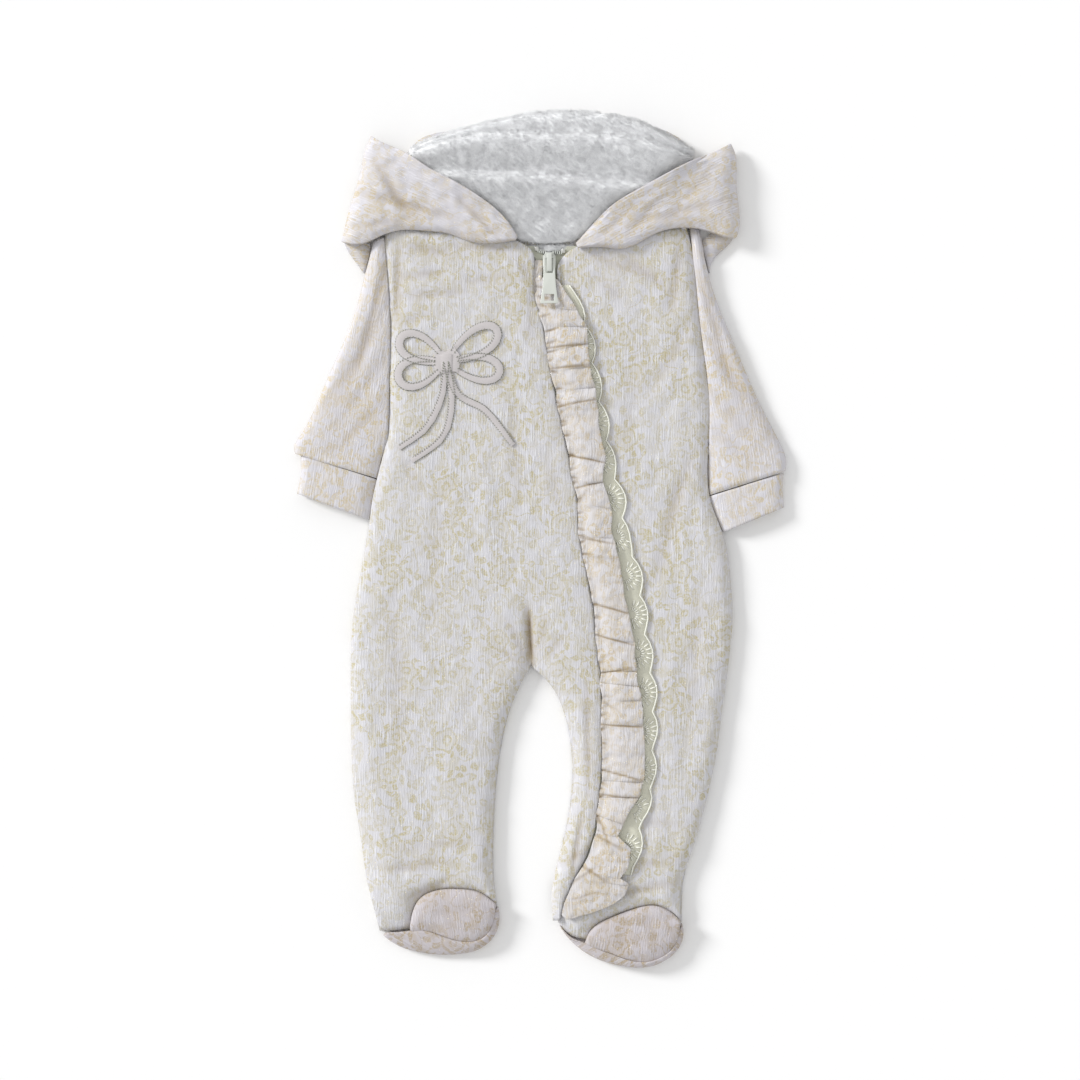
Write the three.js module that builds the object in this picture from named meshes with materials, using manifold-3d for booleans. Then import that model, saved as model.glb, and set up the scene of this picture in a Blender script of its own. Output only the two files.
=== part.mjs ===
// A hooded, footed baby sleepsuit laid flat on its back. Millimetres, +Z up, +Y towards the hood.
// Left and right are the wearer's: the wearer's right side lies at negative X.
import * as THREE from "three";
import Module from "manifold-3d";

const wasm = await Module();
wasm.setup();

// Driving dimensions
const FLOOR_LAYER = 3.4; // plush-backed cloth of the back, lying on the surface
const WALL = 3.2; // plush-backed cloth of the fronts
const LAYER_GAP = 0.4; // clearance between two layers
const SEAM_GAP = 0.5; // clearance between two pieces sewn edge to edge
const FRONT_BASE = FLOOR_LAYER + LAYER_GAP;
const BODY_CROWN = 10.4; // top of the body between its seams
const SIDE_HEIGHT = 5.8; // top of a front at its side seam
const PLACKET_HEIGHT = 8.6; // top of a front along the zip
const NECK_HEIGHT = 7; // top of a front under the hood seam
const TAPE = { base: 4.9, top: 5.6, reach: 9, width: 7, turn: 4 };
const CHAIN = { halfWidth: 2, base: 5.9, top: 7.6 };
const TAPE_COVER = TAPE.top + 0.35;
const SLEEVE = { crown: 9.4, seam: 7.2, wall: 2.8 };
const CUFF = { crown: 8.6, wall: 2.4 };
SLEEVE.armpit = 68; // level where the armhole closes
SLEEVE.hem = { from: 60, drop: 0.3 }; // flattening towards the cuff
const FOOT = { crown: 12.4, wall: 4.6, rim: 9.6, floorReach: 13, soleWall: 3 };
FOOT.centres = { right: [-68, -262], left: [57, -272] };
FOOT.heels = {
  right: [[-112.4, -274.4], [-30.6, -256.4]],
  left: [[13.0, -268.6], [99.2, -268.0]],
};
FOOT.seam = { drop: 1.2, round: 12 }; // the upper's fall to the sole's seam
FOOT.arch = { height: 9.4, round: 9 }; // the upper's fall to the leg's arch
const RUFFLE = { lift: 0.6, wall: 1.3, rise: 2.6, seamRise: 1.3, reach: 5 };
const LACE = { wall: 0.8, lift: 0.3, pitch: 27, depth: 5, from: 178, to: -234, fade: 30, reach: 2.5 };
const BOW = { x: -65.8, y: 124.3, band: 5.6, slimmest: 0.5, knot: 5.6, thickness: 1.2, lift: 0.3 };
BOW.step = 0.02; // how far each band lies above the one before
BOW.reach = 3; // distance within which the cloth under the bow counts
const STOP = { halfWidth: 1.3, halfLength: 1.6, thickness: 1.8, lift: 0.3 };
STOP.places = { right: [-2.4, 204.2], left: [16.4, 202.6] };
const HOOD_SIDE = { outer: 16, neck: 18, edge: 12.6, brim: 8, layers: 2, reach: 9 };
HOOD_SIDE.round = { lower: 0.22, opening: 0.3, outer: 0.14, neck: 0.16 };
HOOD_SIDE.across = [0, 0.05, 0.14, 0.26, 0.38, 0.5, 0.62, 0.73, 0.83, 0.92, 1];
HOOD_SIDE.down = [0, 0.06, 0.16, 0.32, 0.52, 0.72, 0.86, 0.94, 1];
const NECK_LINING = { edge: 4.5, rise: 1.7, halfWidth: 5.4, middle: 7.4 };
NECK_LINING.shares = [0, 0.12, 0.28, 0.45, 0.62, 0.8, 0.92, 1];
const CROTCH = { x: -6.3, y: -87.8 };
const ZIP_END = -250;
const SHOULDER = 219.4;
const BACK_TOP = 218.6;
const HEEL_GAP = 1; // between the back and a sole, under the foot

// Rows of numbers under named columns.
function table(columns, rows) {
  const names = columns.split(" ");
  return rows.map((row) => Object.fromEntries(names.map((name, i) => [name, row[i]])));
}

// Side seams of the body, from the shoulder to the ankle
const SIDES = table("y right left", [
  [219.4, -108.5, 102.2],
  [209.6, -108.8, 105.0],
  [190.0, -107.1, 108.3],
  [167.6, -105.7, 110.4],
  [139.6, -104.6, 113.6],
  [115.0, -105.7, 117.2],
  [94.1, -105.7, 119.0],
  [68.9, -106.8, 118.3],
  [56.3, -110.6, 117.2],
  [41.6, -114.4, 117.0],
  [27.6, -117.6, 118.6],
  [12.9, -119.3, 124.5],
  [-0.3, -121.1, 130.2],
  [-21.3, -125.3, 133.0],
  [-36.8, -128.8, 134.3],
  [-54.2, -130.9, 135.1],
  [-76.6, -132.3, 133.0],
  [-101.1, -132.4, 130.2],
  [-128.4, -132.3, 126.0],
  [-147.3, -132.1, 124.2],
  [-174.6, -131.0, 118.3],
  [-204.8, -126.0, 111.0],
  [-227.1, -122.8, 103.6],
  [-243.2, -121.4, 97.5],
  [-260.0, -118.6, 97.3],
]);

// Inner edges of the two legs, from the crotch to the ankle
const INSEAMS = table("y right left", [
  [-87.8, -6.3, -6.3],
  [-90.8, -8.8, -0.9],
  [-101.1, -13.9, 7.7],
  [-107.4, -16.8, 12.2],
  [-116.0, -21.0, 15.6],
  [-126.3, -24.5, 19.6],
  [-136.8, -27.3, 22.4],
  [-152.0, -29.6, 24.2],
  [-168.3, -31.2, 25.9],
  [-180.2, -32.2, 22.9],
  [-204.0, -33.4, 19.3],
  [-228.0, -34.3, 12.0],
  [-241.0, -32.4, 8.8],
  [-250.0, -31.6, 7.7],
  [-260.0, -30.4, 9.1],
]);

// Zip edge of the right front, from the neck to the foot
const ZIP_SEAM = table("y x", [
  [211.0, -17.0],
  [207.8, -12.6],
  [205.2, -7.9],
  [201.2, -4.9],
  [197.0, -3.8],
  [191.4, -4.6],
  [174.6, -5.2],
  [166.9, -3.9],
  [159.9, -1.0],
  [152.2, 1.8],
  [141.8, 2.6],
  [132.7, 5.4],
  [119.3, 6.9],
  [104.6, 9.8],
  [91.3, 12.6],
  [82.2, 15.0],
  [65.5, 18.2],
  [52.1, 21.0],
  [41.6, 23.1],
  [27.6, 26.2],
  [-3.8, 27.6],
  [-11.5, 30.1],
  [-42.3, 36.4],
  [-70.3, 39.2],
  [-93.4, 42.0],
  [-112.3, 43.0],
  [-166.2, 43.2],
  [-179.5, 41.0],
  [-203.3, 38.6],
  [-220.8, 33.6],
  [-238.3, 23.8],
  [-249.5, 18.9],
  [-259.3, 15.4],
  [-266.0, 13.0],
]);

// How far the zip's middle and the left front's edge lie from the right front's edge
const ZIP_SPREAD = table("y middle edge", [
  [211.0, 23.5, 47.0],
  [205.2, 14.4, 33.8],
  [203.0, 12.8, 27.2],
  [198.7, 10.6, 20.8],
  [195.0, 10.6, 17.8],
  [191.4, 11.1, 17.0],
  [186.0, 11.5, 17.2],
  [174.6, 11.7, 17.4],
  [166.9, 10.5, 16.9],
  [159.9, 8.0, 14.6],
  [152.2, 6.2, 12.4],
  [132.7, 5.7, 11.4],
  [104.6, 5.6, 11.1],
  [-238.3, 5.6, 11.1],
  [-249.5, 4.6, 7.6],
  [-256.0, 3.0, 3.6],
  [-266.0, 1.0, 1.0],
]);

// Where each leg front ends over the foot: the arch round the bootie's upper
const ARCH_RIGHT = table("share x y", [
  [0, -112.0, -273.2],
  [0.14, -100.8, -274.0],
  [0.25, -91.2, -272.0],
  [0.28, -89.7, -259.5],
  [0.34, -84.2, -249.8],
  [0.47, -73.6, -245.6],
  [0.56, -66.4, -244.8],
  [0.65, -58.9, -244.6],
  [0.83, -44.3, -245.6],
  [0.93, -37.4, -249.8],
  [1, -30.8, -255.4],
]);
const ARCH_LEFT = table("share x y", [
  [0, 12.9, -267.4],
  [0.04, 19.2, -276.2],
  [0.08, 25.4, -278.7],
  [0.12, 32.4, -280.2],
  [0.18, 35.0, -273.0],
  [0.34, 46.0, -266.0],
  [0.5, 60.8, -260.5],
  [0.62, 69.6, -257.6],
  [0.74, 78.4, -255.9],
  [0.845, 86.1, -257.3],
  [0.94, 93.6, -262.0],
  [1, 98.4, -267.4],
]);

// Bootie soles: the toe's outline, and the seam on top where the sole meets the upper
const TOE_RIGHT = table("x y seamX seamY", [
  [-109.9, -277.5, -107.0, -275.4],
  [-103.6, -283.5, -99.4, -275.6],
  [-91.0, -288.0, -90.3, -274.0],
  [-77.0, -290.5, -81.2, -273.4],
  [-63.7, -291.5, -72.1, -276.6],
  [-51.8, -290.5, -58.8, -281.8],
  [-41.3, -287.3, -46.2, -282.4],
  [-33.6, -281.0, -38.5, -278.9],
  [-29.4, -273.3, -34.3, -273.3],
  [-28.3, -265.6, -32.3, -266.6],
  [-29.4, -257.8, -31.3, -259.8],
]);
const TOE_LEFT = table("x y seamX seamY", [
  [14.0, -270.8, 17.6, -275.6],
  [18.9, -278.8, 23.2, -280.2],
  [26.6, -286.3, 31.6, -282.6],
  [37.8, -294.0, 40.4, -287.2],
  [54.6, -299.2, 51.1, -290.8],
  [72.1, -301.3, 63.7, -295.8],
  [85.4, -297.1, 75.5, -296.8],
  [94.5, -290.8, 86.3, -292.6],
  [99.4, -283.8, 92.6, -287.8],
  [101.0, -276.1, 96.2, -281.2],
  [99.8, -269.8, 97.6, -274.6],
]);

// Sleeves, from the shoulder to the cuff: the inner edge at the body and the outer edge
const SLEEVE_RIGHT = table("innerY x y", [
  [211.5, -117.2, 209.0],
  [195.0, -121.1, 193.8],
  [178.0, -124.6, 178.1],
  [160.0, -129.0, 160.0],
  [142.0, -136.0, 141.5],
  [124.0, -145.2, 122.5],
  [104.0, -153.2, 103.0],
  [86.0, -160.6, 85.5],
  [71.0, -168.8, 71.8],
  [57.0, -173.4, 66.0],
  [43.5, -171.6, 60.6],
]);
const SLEEVE_LEFT = table("innerY x y", [
  [211.5, 112.6, 208.4],
  [195.0, 116.6, 194.8],
  [178.0, 120.4, 177.6],
  [160.0, 126.6, 159.2],
  [142.0, 134.4, 141.8],
  [124.0, 141.6, 123.5],
  [104.0, 150.6, 102.6],
  [86.0, 159.4, 84.6],
  [71.0, 167.2, 70.2],
  [50.0, 173.4, 57.6],
  [31.5, 172.0, 48.4],
]);
const CUFF_RIGHT = table("innerY x y", [
  [42.2, -167.6, 59.0],
  [30.0, -166.8, 48.2],
  [14.6, -170.4, 32.6],
]);
const CUFF_LEFT = table("innerY x y", [
  [30.2, 170.8, 46.8],
  [16.0, 169.6, 36.0],
  [5.6, 171.2, 23.1],
]);

// The hood's outer cloth on the surface: its edge round the back, then both sides
const HOOD_RIM = table("share x y", [
  [0, -116.6, 280.0],
  [0.06, -107.5, 273.4],
  [0.12, -97.0, 269.6],
  [0.145, -91.0, 273.0],
  [0.18, -86.5, 280.8],
  [0.24, -76.0, 286.0],
  [0.34, -49.0, 288.6],
  [0.46, -24.0, 294.2],
  [0.56, 8.0, 299.0],
  [0.66, 40.0, 299.6],
  [0.75, 68.0, 293.6],
  [0.83, 91.0, 287.2],
  [0.875, 104.4, 278.0],
  [0.905, 106.6, 264.6],
  [0.95, 119.0, 268.0],
  [1, 132.6, 273.6],
]);
const HOOD_RIGHT_EDGE = [
  [-116.6, 280.0],
  [-123.0, 266.0],
  [-124.0, 254.0],
  [-131.4, 233.0],
  [-138.0, 214.4],
];
const HOOD_LEFT_EDGE = [
  [132.6, 273.6],
  [136.0, 264.0],
  [136.2, 249.5],
  [138.6, 232.0],
  [138.8, 214.4],
];
const HOOD_BASE_SHARES = [0, 0.05, 0.1, 0.14, 0.18, 0.24, 0.34, 0.46, 0.56, 0.64, 0.71, 0.77];
HOOD_BASE_SHARES.push(0.81, 0.895, 0.945, 1);
const HOOD_LOBES = table("y rightFrom rightTo leftFrom leftTo", [
  [209.0, -138.2, -118.4, 113.6, 134.8],
  [201.0, -133.6, -120.2, 115.8, 124.6],
  [195.0, -129.0, -121.6, 117.4, 119.4],
  [188.0, -124.0, -123.2, 118.9, 119.2],
]);

// Hood sides turned out over the shoulders: opening edge from the tip in to the neck, then the lower edge
const SIDE_RIGHT_OPENING = [
  [-118.3, 283.1],
  [-112.0, 278.2],
  [-94.5, 271.2],
  [-81.9, 260.8],
  [-56.7, 248.1],
  [-32.2, 232.0],
  [-23.1, 223.6],
  [-16.1, 212.6],
];
const SIDE_RIGHT_LOWER = [
  [-139.0, 209.4],
  [-130.0, 206.6],
  [-120.6, 207.8],
  [-114.8, 213.1],
  [-107.1, 215.4],
  [-94.5, 218.0],
  [-78.4, 216.2],
  [-62.0, 215.2],
  [-49.7, 208.4],
  [-35.7, 207.3],
  [-17.0, 209.9],
];
const SIDE_RIGHT_OUTER = [
  [-118.3, 283.1],
  [-124.9, 268.4],
  [-125.3, 257.2],
  [-133.0, 234.8],
  [-139.0, 209.4],
];
const SIDE_LEFT_OPENING = [
  [133.6, 277.6],
  [126.7, 273.3],
  [107.1, 264.9],
  [84.7, 253.0],
  [64.4, 241.8],
  [51.8, 234.8],
  [34.3, 217.3],
  [25.4, 207.6],
];
const SIDE_LEFT_LOWER = [
  [137.6, 212.2],
  [130.9, 211.4],
  [124.6, 214.0],
  [118.0, 217.7],
  [100.1, 218.8],
  [86.8, 218.0],
  [75.6, 212.4],
  [64.4, 204.8],
  [56.7, 202.6],
  [46.9, 205.2],
  [26.6, 204.6],
];
const SIDE_LEFT_OUTER = [
  [133.6, 277.6],
  [137.9, 268.0],
  [137.2, 249.5],
  [140.3, 222.0],
  [137.6, 212.2],
];

// Plush lining of the hood, from the neck up: each fold line's ends, its height at five places across
const LINING_FOLDS = table("left right y0 y1 y2 y3 y4 height", [
  [-14.0, 23.4, 210.4, 208.7, 207.9, 208.4, 210.0, 7.0],
  [-30.1, 46.2, 221.6, 219.4, 218.1, 218.1, 220.9, 9.5],
  [-46.9, 60.9, 235.6, 234.1, 232.8, 232.1, 233.5, 13.0],
  [-66.5, 72.1, 247.5, 246.8, 244.7, 241.2, 239.8, 17.0],
  [-80.5, 84.7, 255.2, 254.8, 253.4, 248.2, 246.1, 19.5],
  [-86.1, 90.3, 258.7, 257.9, 256.6, 252.6, 249.6, 13.5],
  [-91.5, 104.0, 265.7, 270.6, 269.2, 267.1, 260.8, 19.0],
  [-92.6, 106.0, 269.2, 281.1, 281.1, 281.1, 265.7, 21.0],
  [-92.3, 107.0, 271.3, 283.9, 284.6, 283.2, 267.8, 14.5],
  [-91.7, 108.2, 273.4, 288.8, 297.2, 293.7, 270.0, 17.0],
  [-91.0, 108.8, 275.8, 292.0, 301.2, 298.0, 273.0, 6.5],
]);
const LINING_BASE = FLOOR_LAYER + LAYER_GAP;

// Pleats of the frill from the neck down: where each starts on the seam and ends on the free edge
const PLEATS = table("seamY edgeX edgeY rise", [
  [196.0, 1.2, 196.0, 0.1],
  [184.8, 1.2, 184.8, 0.1],
  [183.0, 1.2, 183.2, 0.1],
  [182.4, 11.4, 181.8, 0.1],
  [176.0, 15.0, 175.6, 0.15],
  [163.0, 25.4, 161.0, 0.5],
  [150.0, 31.4, 150.0, 0.8],
  [132.5, 32.2, 138.2, 1],
  [118.8, 34.0, 122.2, 1],
  [104.6, 36.8, 107.4, 0.8],
  [87.1, 38.6, 97.7, 1.1],
  [59.4, 44.7, 54.4, 1],
  [39.0, 43.6, 41.6, 1.1],
  [27.0, 48.6, 23.0, 1],
  [3.0, 49.8, 2.0, 0.9],
  [-11.0, 54.2, -13.0, 1.1],
  [-47.0, 60.2, -50.0, 1],
  [-69.0, 65.8, -70.4, 1],
  [-92.0, 65.9, -90.6, 1.2],
  [-99.0, 68.2, -101.2, 0.9],
  [-112.5, 70.2, -110.6, 1],
  [-130.0, 71.4, -128.2, 1],
  [-150.0, 72.2, -149.4, 0.7],
  [-168.0, 71.8, -168.4, 1],
  [-179.6, 68.8, -178.2, 1.1],
  [-192.0, 57.0, -197.6, 1.2],
  [-203.0, 53.2, -206.8, 1],
  [-211.0, 63.0, -216.0, 1.3],
  [-222.0, 60.4, -229.8, 1],
  [-231.5, 55.0, -236.4, 1.1],
  [-237.0, 61.8, -240.4, 1.3],
  [-245.0, 58.8, -248.0, 1],
  [-251.0, 47.6, -255.4, 0.9],
  [-257.0, 34.6, -260.0, 0.8],
  [-262.5, 17.6, -264.6, 0.5],
]);

// Tips of the lace scallops
const LACE_TIPS = table("y x", [
  [179.0, 20.5],
  [166.0, 29.0],
  [140.0, 38.2],
  [106.8, 43.9],
  [81.6, 49.0],
  [52.9, 53.9],
  [27.7, 60.9],
  [1.1, 63.7],
  [-12.3, 69.3],
  [-37.5, 74.2],
  [-64.8, 77.4],
  [-92.8, 81.2],
  [-118.7, 83.0],
  [-148.8, 82.3],
  [-172.6, 81.2],
  [-199.9, 73.5],
  [-224.4, 70.7],
  [-236.0, 64.0],
]);

// Largest creases pressed into the fronts
const CREASES = table("x1 y1 x2 y2 depth width", [
  [-7.6, -58.0, -6.6, -86.0, 2.4, 3.4],
  [-24.0, -66.0, -10.0, -82.0, 0.9, 4],
  [10.0, -60.0, -2.0, -80.0, 0.9, 4],
  [-98.0, 196.0, -99.0, 158.0, 1.1, 4.5],
  [-72.0, 202.0, -92.0, 190.0, 0.8, 5],
  [70.0, 196.0, 92.0, 172.0, 0.9, 6],
  [84.0, 60.0, 106.0, 20.0, 0.8, 6],
  [-92.0, 40.0, -108.0, 8.0, 0.8, 6],
  [-60.0, -232.0, -96.0, -226.0, 0.8, 5],
  [52.0, -238.0, 92.0, -236.0, 0.9, 4.5],
]);

// Levels of the front panels, from the shoulder down to the crotch and on to the ankle
const NECK_LEVEL = 190;
const BODY_LEVELS = [178, 169, 160, 151, 142, 133, 124, 114, 104, 95, 86, 71, 57, 43, 30, 16];
BODY_LEVELS.push(0, -20, -42, -58, -70, -79);
const LEG_LEVELS = [-98, -109, -123, -140, -158, -178, -198, -217, -235];
const BACK_LEVELS = [211, 195, 178, 160, 142, 124, 104, 86, 71, 57, 43, 30, 16, -20, -58];
const BACK_LEG_LEVELS = [-98, -109, -123, -158, -198, -235];

// Colours from the cloth, plush, ribbon, organza and zip
const CLOTH = { color: 0xe6e0d4, roughness: 0.9, metalness: 0 };
const PLUSH = { color: 0xf0efea, roughness: 1, metalness: 0 };
const ORGANZA = { color: 0xe4e3c4, roughness: 0.55, metalness: 0 };
const SATIN = { color: 0xcfc8ca, roughness: 0.45, metalness: 0 };
const TAPE_CLOTH = { color: 0xdcdec2, roughness: 0.8, metalness: 0 };
const PAINTED_METAL = { color: 0xdfe1cf, roughness: 0.35, metalness: 0.2 };
const BRIGHT_METAL = { color: 0xc9c9c4, roughness: 0.3, metalness: 0.9 };

const garment = new THREE.Group();

// Adds a named mesh to the garment.
function piece(name, geometry, finish) {
  const mesh = new THREE.Mesh(geometry, new THREE.MeshStandardMaterial(finish));
  mesh.name = name;
  garment.add(mesh);
  return mesh;
}

// A smooth function through a table's rows that never overshoots them.
function curve(rows, key, value) {
  const sorted = [...rows].sort((a, b) => a[key] - b[key]);
  const at = sorted.map((row) => row[key]);
  const values = sorted.map((row) => row[value]);
  const steps = at.slice(1).map((x, i) => (values[i + 1] - values[i]) / (x - at[i]));
  const slopes = at.map((x, i) => {
    const before = steps[i - 1] ?? steps[0];
    const after = steps[i] ?? steps[steps.length - 1];
    return before * after <= 0 ? 0 : (2 * before * after) / (before + after);
  });
  return (x) => {
    if (x <= at[0]) return values[0];
    const next = at.findIndex((limit) => limit >= x);
    if (next < 0) return values[values.length - 1];
    const span = at[next] - at[next - 1];
    const t = (x - at[next - 1]) / span;
    const rise = t * t * (3 - 2 * t);
    const bend = span * t * (1 - t) * ((1 - t) * slopes[next - 1] - t * slopes[next]);
    return values[next - 1] + (values[next] - values[next - 1]) * rise + bend;
  };
}

const mix = (a, b, t) => a + (b - a) * t;
const between = (p, q, t) => p.map((value, i) => mix(value, q[i], t));
const clamp = (value, low, high) => Math.min(Math.max(value, low), high);
const rounded = (depth, width) => Math.sqrt(1 - (1 - clamp(depth / width, 0, 1)) ** 2);
const sampled = (count) => Array.from({ length: count + 1 }, (_, i) => i / count);

// A smooth path through plan points, as a function of the share of its length.
function path(points) {
  const route = new THREE.CatmullRomCurve3(
    points.map(([x, y]) => new THREE.Vector3(x, y, 0)),
    false,
    "centripetal",
  );
  return (t) => {
    const p = route.getPointAt(clamp(t, 0, 1));
    return [p.x, p.y];
  };
}

// Distance from a plan point to a chain of points.
function distanceTo(chain, x, y) {
  let nearest = Infinity;
  for (let i = 1; i < chain.length; i++) {
    const [ax, ay] = chain[i - 1];
    const [bx, by] = chain[i];
    const length = (bx - ax) ** 2 + (by - ay) ** 2;
    const t = length ? clamp(((x - ax) * (bx - ax) + (y - ay) * (by - ay)) / length, 0, 1) : 0;
    nearest = Math.min(nearest, Math.hypot(x - mix(ax, bx, t), y - mix(ay, by, t)));
  }
  return nearest;
}

// A closed surface built face by face, with shared corners.
class Shell {
  constructor() {
    this.points = [];
    this.known = new Map();
    this.faces = [];
  }
  point(p) {
    const key = p.map((value) => Math.round(value * 1000)).join();
    if (!this.known.has(key)) {
      this.known.set(key, this.points.length);
      this.points.push(p);
    }
    return this.known.get(key);
  }
  triangle(a, b, c) {
    const corners = [this.point(a), this.point(b), this.point(c)];
    if (new Set(corners).size === 3) this.faces.push(corners);
  }
  quad(a, b, c, d) {
    this.triangle(a, b, c);
    this.triangle(a, c, d);
  }
  volume() {
    const corner = (i) => new THREE.Vector3(...this.points[i]);
    return this.faces.reduce((sum, [a, b, c]) => sum + corner(a).dot(corner(b).cross(corner(c))), 0);
  }
  geometry() {
    const faces = this.volume() < 0 ? this.faces.map(([a, b, c]) => [a, c, b]) : this.faces;
    const made = new THREE.BufferGeometry();
    made.setAttribute("position", new THREE.Float32BufferAttribute(this.points.flat(), 3));
    made.setIndex(faces.flat());
    made.computeVertexNormals();
    return made;
  }
}

// Twice the signed area of a plan triangle.
const turn = (p, q, s) => (q[0] - p[0]) * (s[1] - p[1]) - (q[1] - p[1]) * (s[0] - p[0]);

// A wall over plan patches of rows of points, closed by a bottom and by rims along its free edges.
function slab(patches, topAt, bottomAt) {
  const plan = new Shell();
  for (const rows of patches)
    for (let r = 1; r < rows.length; r++)
      for (let c = 1; c < rows[r].length; c++) {
        const [a, b] = [rows[r - 1][c - 1], rows[r][c - 1]];
        const [d, e] = [rows[r][c], rows[r - 1][c]];
        if (turn(a, b, d) * turn(a, d, e) > 0) plan.quad(a, b, d, e);
        else plan.quad(b, d, e, a);
      }
  const faces = plan.faces.map(([a, b, c]) => {
    const [p, q, s] = [a, b, c].map((i) => plan.points[i]);
    return turn(p, q, s) < 0 ? [a, c, b] : [a, b, c];
  });
  const tops = plan.points.map(([x, y, z]) => [x, y, topAt(x, y, z)]);
  const bottoms = tops.map(([x, y, top]) => [x, y, bottomAt(x, y, top)]);
  const edges = new Map();
  for (const [a, b, c] of faces)
    for (const [from, to] of [[a, b], [b, c], [c, a]]) edges.set(from + "," + to, [from, to]);
  const shell = new Shell();
  for (const [a, b, c] of faces) {
    shell.triangle(tops[a], tops[b], tops[c]);
    shell.triangle(bottoms[a], bottoms[c], bottoms[b]);
  }
  for (const [from, to] of edges.values())
    if (!edges.has(to + "," + from)) shell.quad(tops[from], bottoms[from], bottoms[to], tops[to]);
  return shell.geometry();
}

// A wall folded round: each row holds outer and inner points, and a row whose ends meet closes the tube.
function foldedWall(rows) {
  const shell = new Shell();
  const last = rows[0].outer.length - 1;
  const closed = ({ outer }) => Math.hypot(...outer[0].map((value, i) => value - outer[last][i])) < 0.001;
  for (let r = 1; r < rows.length; r++) {
    const [a, b] = [rows[r - 1], rows[r]];
    for (let k = 1; k <= last; k++) {
      shell.quad(a.outer[k - 1], b.outer[k - 1], b.outer[k], a.outer[k]);
      shell.quad(a.inner[k], b.inner[k], b.inner[k - 1], a.inner[k - 1]);
    }
    if (closed(a) && closed(b)) continue;
    shell.quad(a.outer[0], a.inner[0], b.inner[0], b.outer[0]);
    shell.quad(a.outer[last], b.outer[last], b.inner[last], a.inner[last]);
  }
  for (const [row, reversed] of [[rows[0], false], [rows[rows.length - 1], true]])
    for (let k = 1; k <= last; k++) {
      const ring = [row.outer[k - 1], row.outer[k], row.inner[k], row.inner[k - 1]];
      shell.quad(...(reversed ? ring.reverse() : ring));
    }
  return shell.geometry();
}

// Height of the highest of some meshes at a plan point, from their faces sorted into square cells.
function surfaceOf(...meshes) {
  const cell = 6;
  const cells = new Map();
  const keyOf = (x, y) => Math.floor(x / cell) + "," + Math.floor(y / cell);
  for (const { geometry } of meshes) {
    const position = geometry.getAttribute("position");
    const corner = (i) => new THREE.Vector3().fromBufferAttribute(position, i);
    for (let i = 0; i < geometry.index.count; i += 3) {
      const face = [0, 1, 2].map((k) => corner(geometry.index.getX(i + k)));
      const box = new THREE.Box3().setFromPoints(face);
      for (let x = box.min.x; x < box.max.x + cell; x += cell)
        for (let y = box.min.y; y < box.max.y + cell; y += cell)
          cells.set(keyOf(x, y), [...(cells.get(keyOf(x, y)) ?? []), face]);
    }
  }
  return (x, y) => {
    let highest = 0;
    for (const [a, b, c] of cells.get(keyOf(x, y)) ?? []) {
      const area = (b.x - a.x) * (c.y - a.y) - (c.x - a.x) * (b.y - a.y);
      const v = ((x - a.x) * (c.y - a.y) - (c.x - a.x) * (y - a.y)) / area;
      const w = ((b.x - a.x) * (y - a.y) - (x - a.x) * (b.y - a.y)) / area;
      if (v >= 0 && w >= 0 && v + w <= 1)
        highest = Math.max(highest, a.z + v * (b.z - a.z) + w * (c.z - a.z));
    }
    return highest;
  };
}

// The highest level of a surface within reach of a plan point.
function highestNear(surface, reach) {
  const spots = [[0, 0]];
  for (const radius of [reach / 3, (2 * reach) / 3, reach])
    for (let i = 0; i < 12; i++)
      spots.push([radius * Math.cos((i * Math.PI) / 6), radius * Math.sin((i * Math.PI) / 6)]);
  return (x, y) => Math.max(...spots.map(([dx, dy]) => surface(x + dx, y + dy)));
}

const sideRight = curve(SIDES, "y", "right");
const sideLeft = curve(SIDES, "y", "left");
const inseamRight = curve(INSEAMS, "y", "right");
const inseamLeft = curve(INSEAMS, "y", "left");
const zipSeam = curve(ZIP_SEAM, "y", "x");
const zipMiddleOffset = curve(ZIP_SPREAD, "y", "middle");
const zipEdgeOffset = curve(ZIP_SPREAD, "y", "edge");
const zipMiddle = (y) => zipSeam(y) + zipMiddleOffset(y);
const zipFarEdge = (y) => zipSeam(y) + zipEdgeOffset(y);
const planPoint = ({ x, y }) => [x, y];

// A straight row of plan points across a panel.
const rowAt = (y, from, to, shares) => shares.map((share) => [mix(from, to, share), y]);
// Rows that turn one row into another.
const ruled = (first, last, steps) =>
  sampled(steps).map((t) => first.map((point, i) => between(point, last[i], t)));
// Points of an edge function, as a chain.
const edgeChain = (x, from, to) => sampled(80).map((t) => [x(mix(from, to, t)), mix(from, to, t)]);

// How far the creases sink the cloth at a plan point.
function creased(x, y) {
  let sunk = 0;
  for (const { x1, y1, x2, y2, depth, width } of CREASES)
    sunk += depth * Math.exp(-((distanceTo([[x1, y1], [x2, y2]], x, y) / width) ** 2));
  return sunk;
}

// Top of a front: rounded down at its seams, a step at the zip, creased, rising a little to the foot.
function frontTop(seams, zipEdge, neck) {
  return (x, y) => {
    const crown = BODY_CROWN + 1.4 * clamp((-190 - y) / 60, 0, 1);
    const side = mix(SIDE_HEIGHT, crown, rounded(distanceTo(seams, x, y), 13));
    const placket = mix(PLACKET_HEIGHT, crown, rounded(distanceTo(zipEdge, x, y), 8));
    const collar = mix(NECK_HEIGHT, crown, rounded(distanceTo(neck, x, y), 11));
    return Math.max(Math.min(side, placket, collar) - creased(x, y), SIDE_HEIGHT);
  };
}

// Underside of a front: a wall's thickness below, clear of the back and of the zip tape.
function frontBottom(x, y, top) {
  const onTape = y > ZIP_END - 6 && Math.abs(x - zipMiddle(y)) < TAPE.reach + TAPE.turn;
  const base = onTape ? TAPE_COVER : FRONT_BASE;
  return Math.max(top - WALL, base);
}

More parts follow.
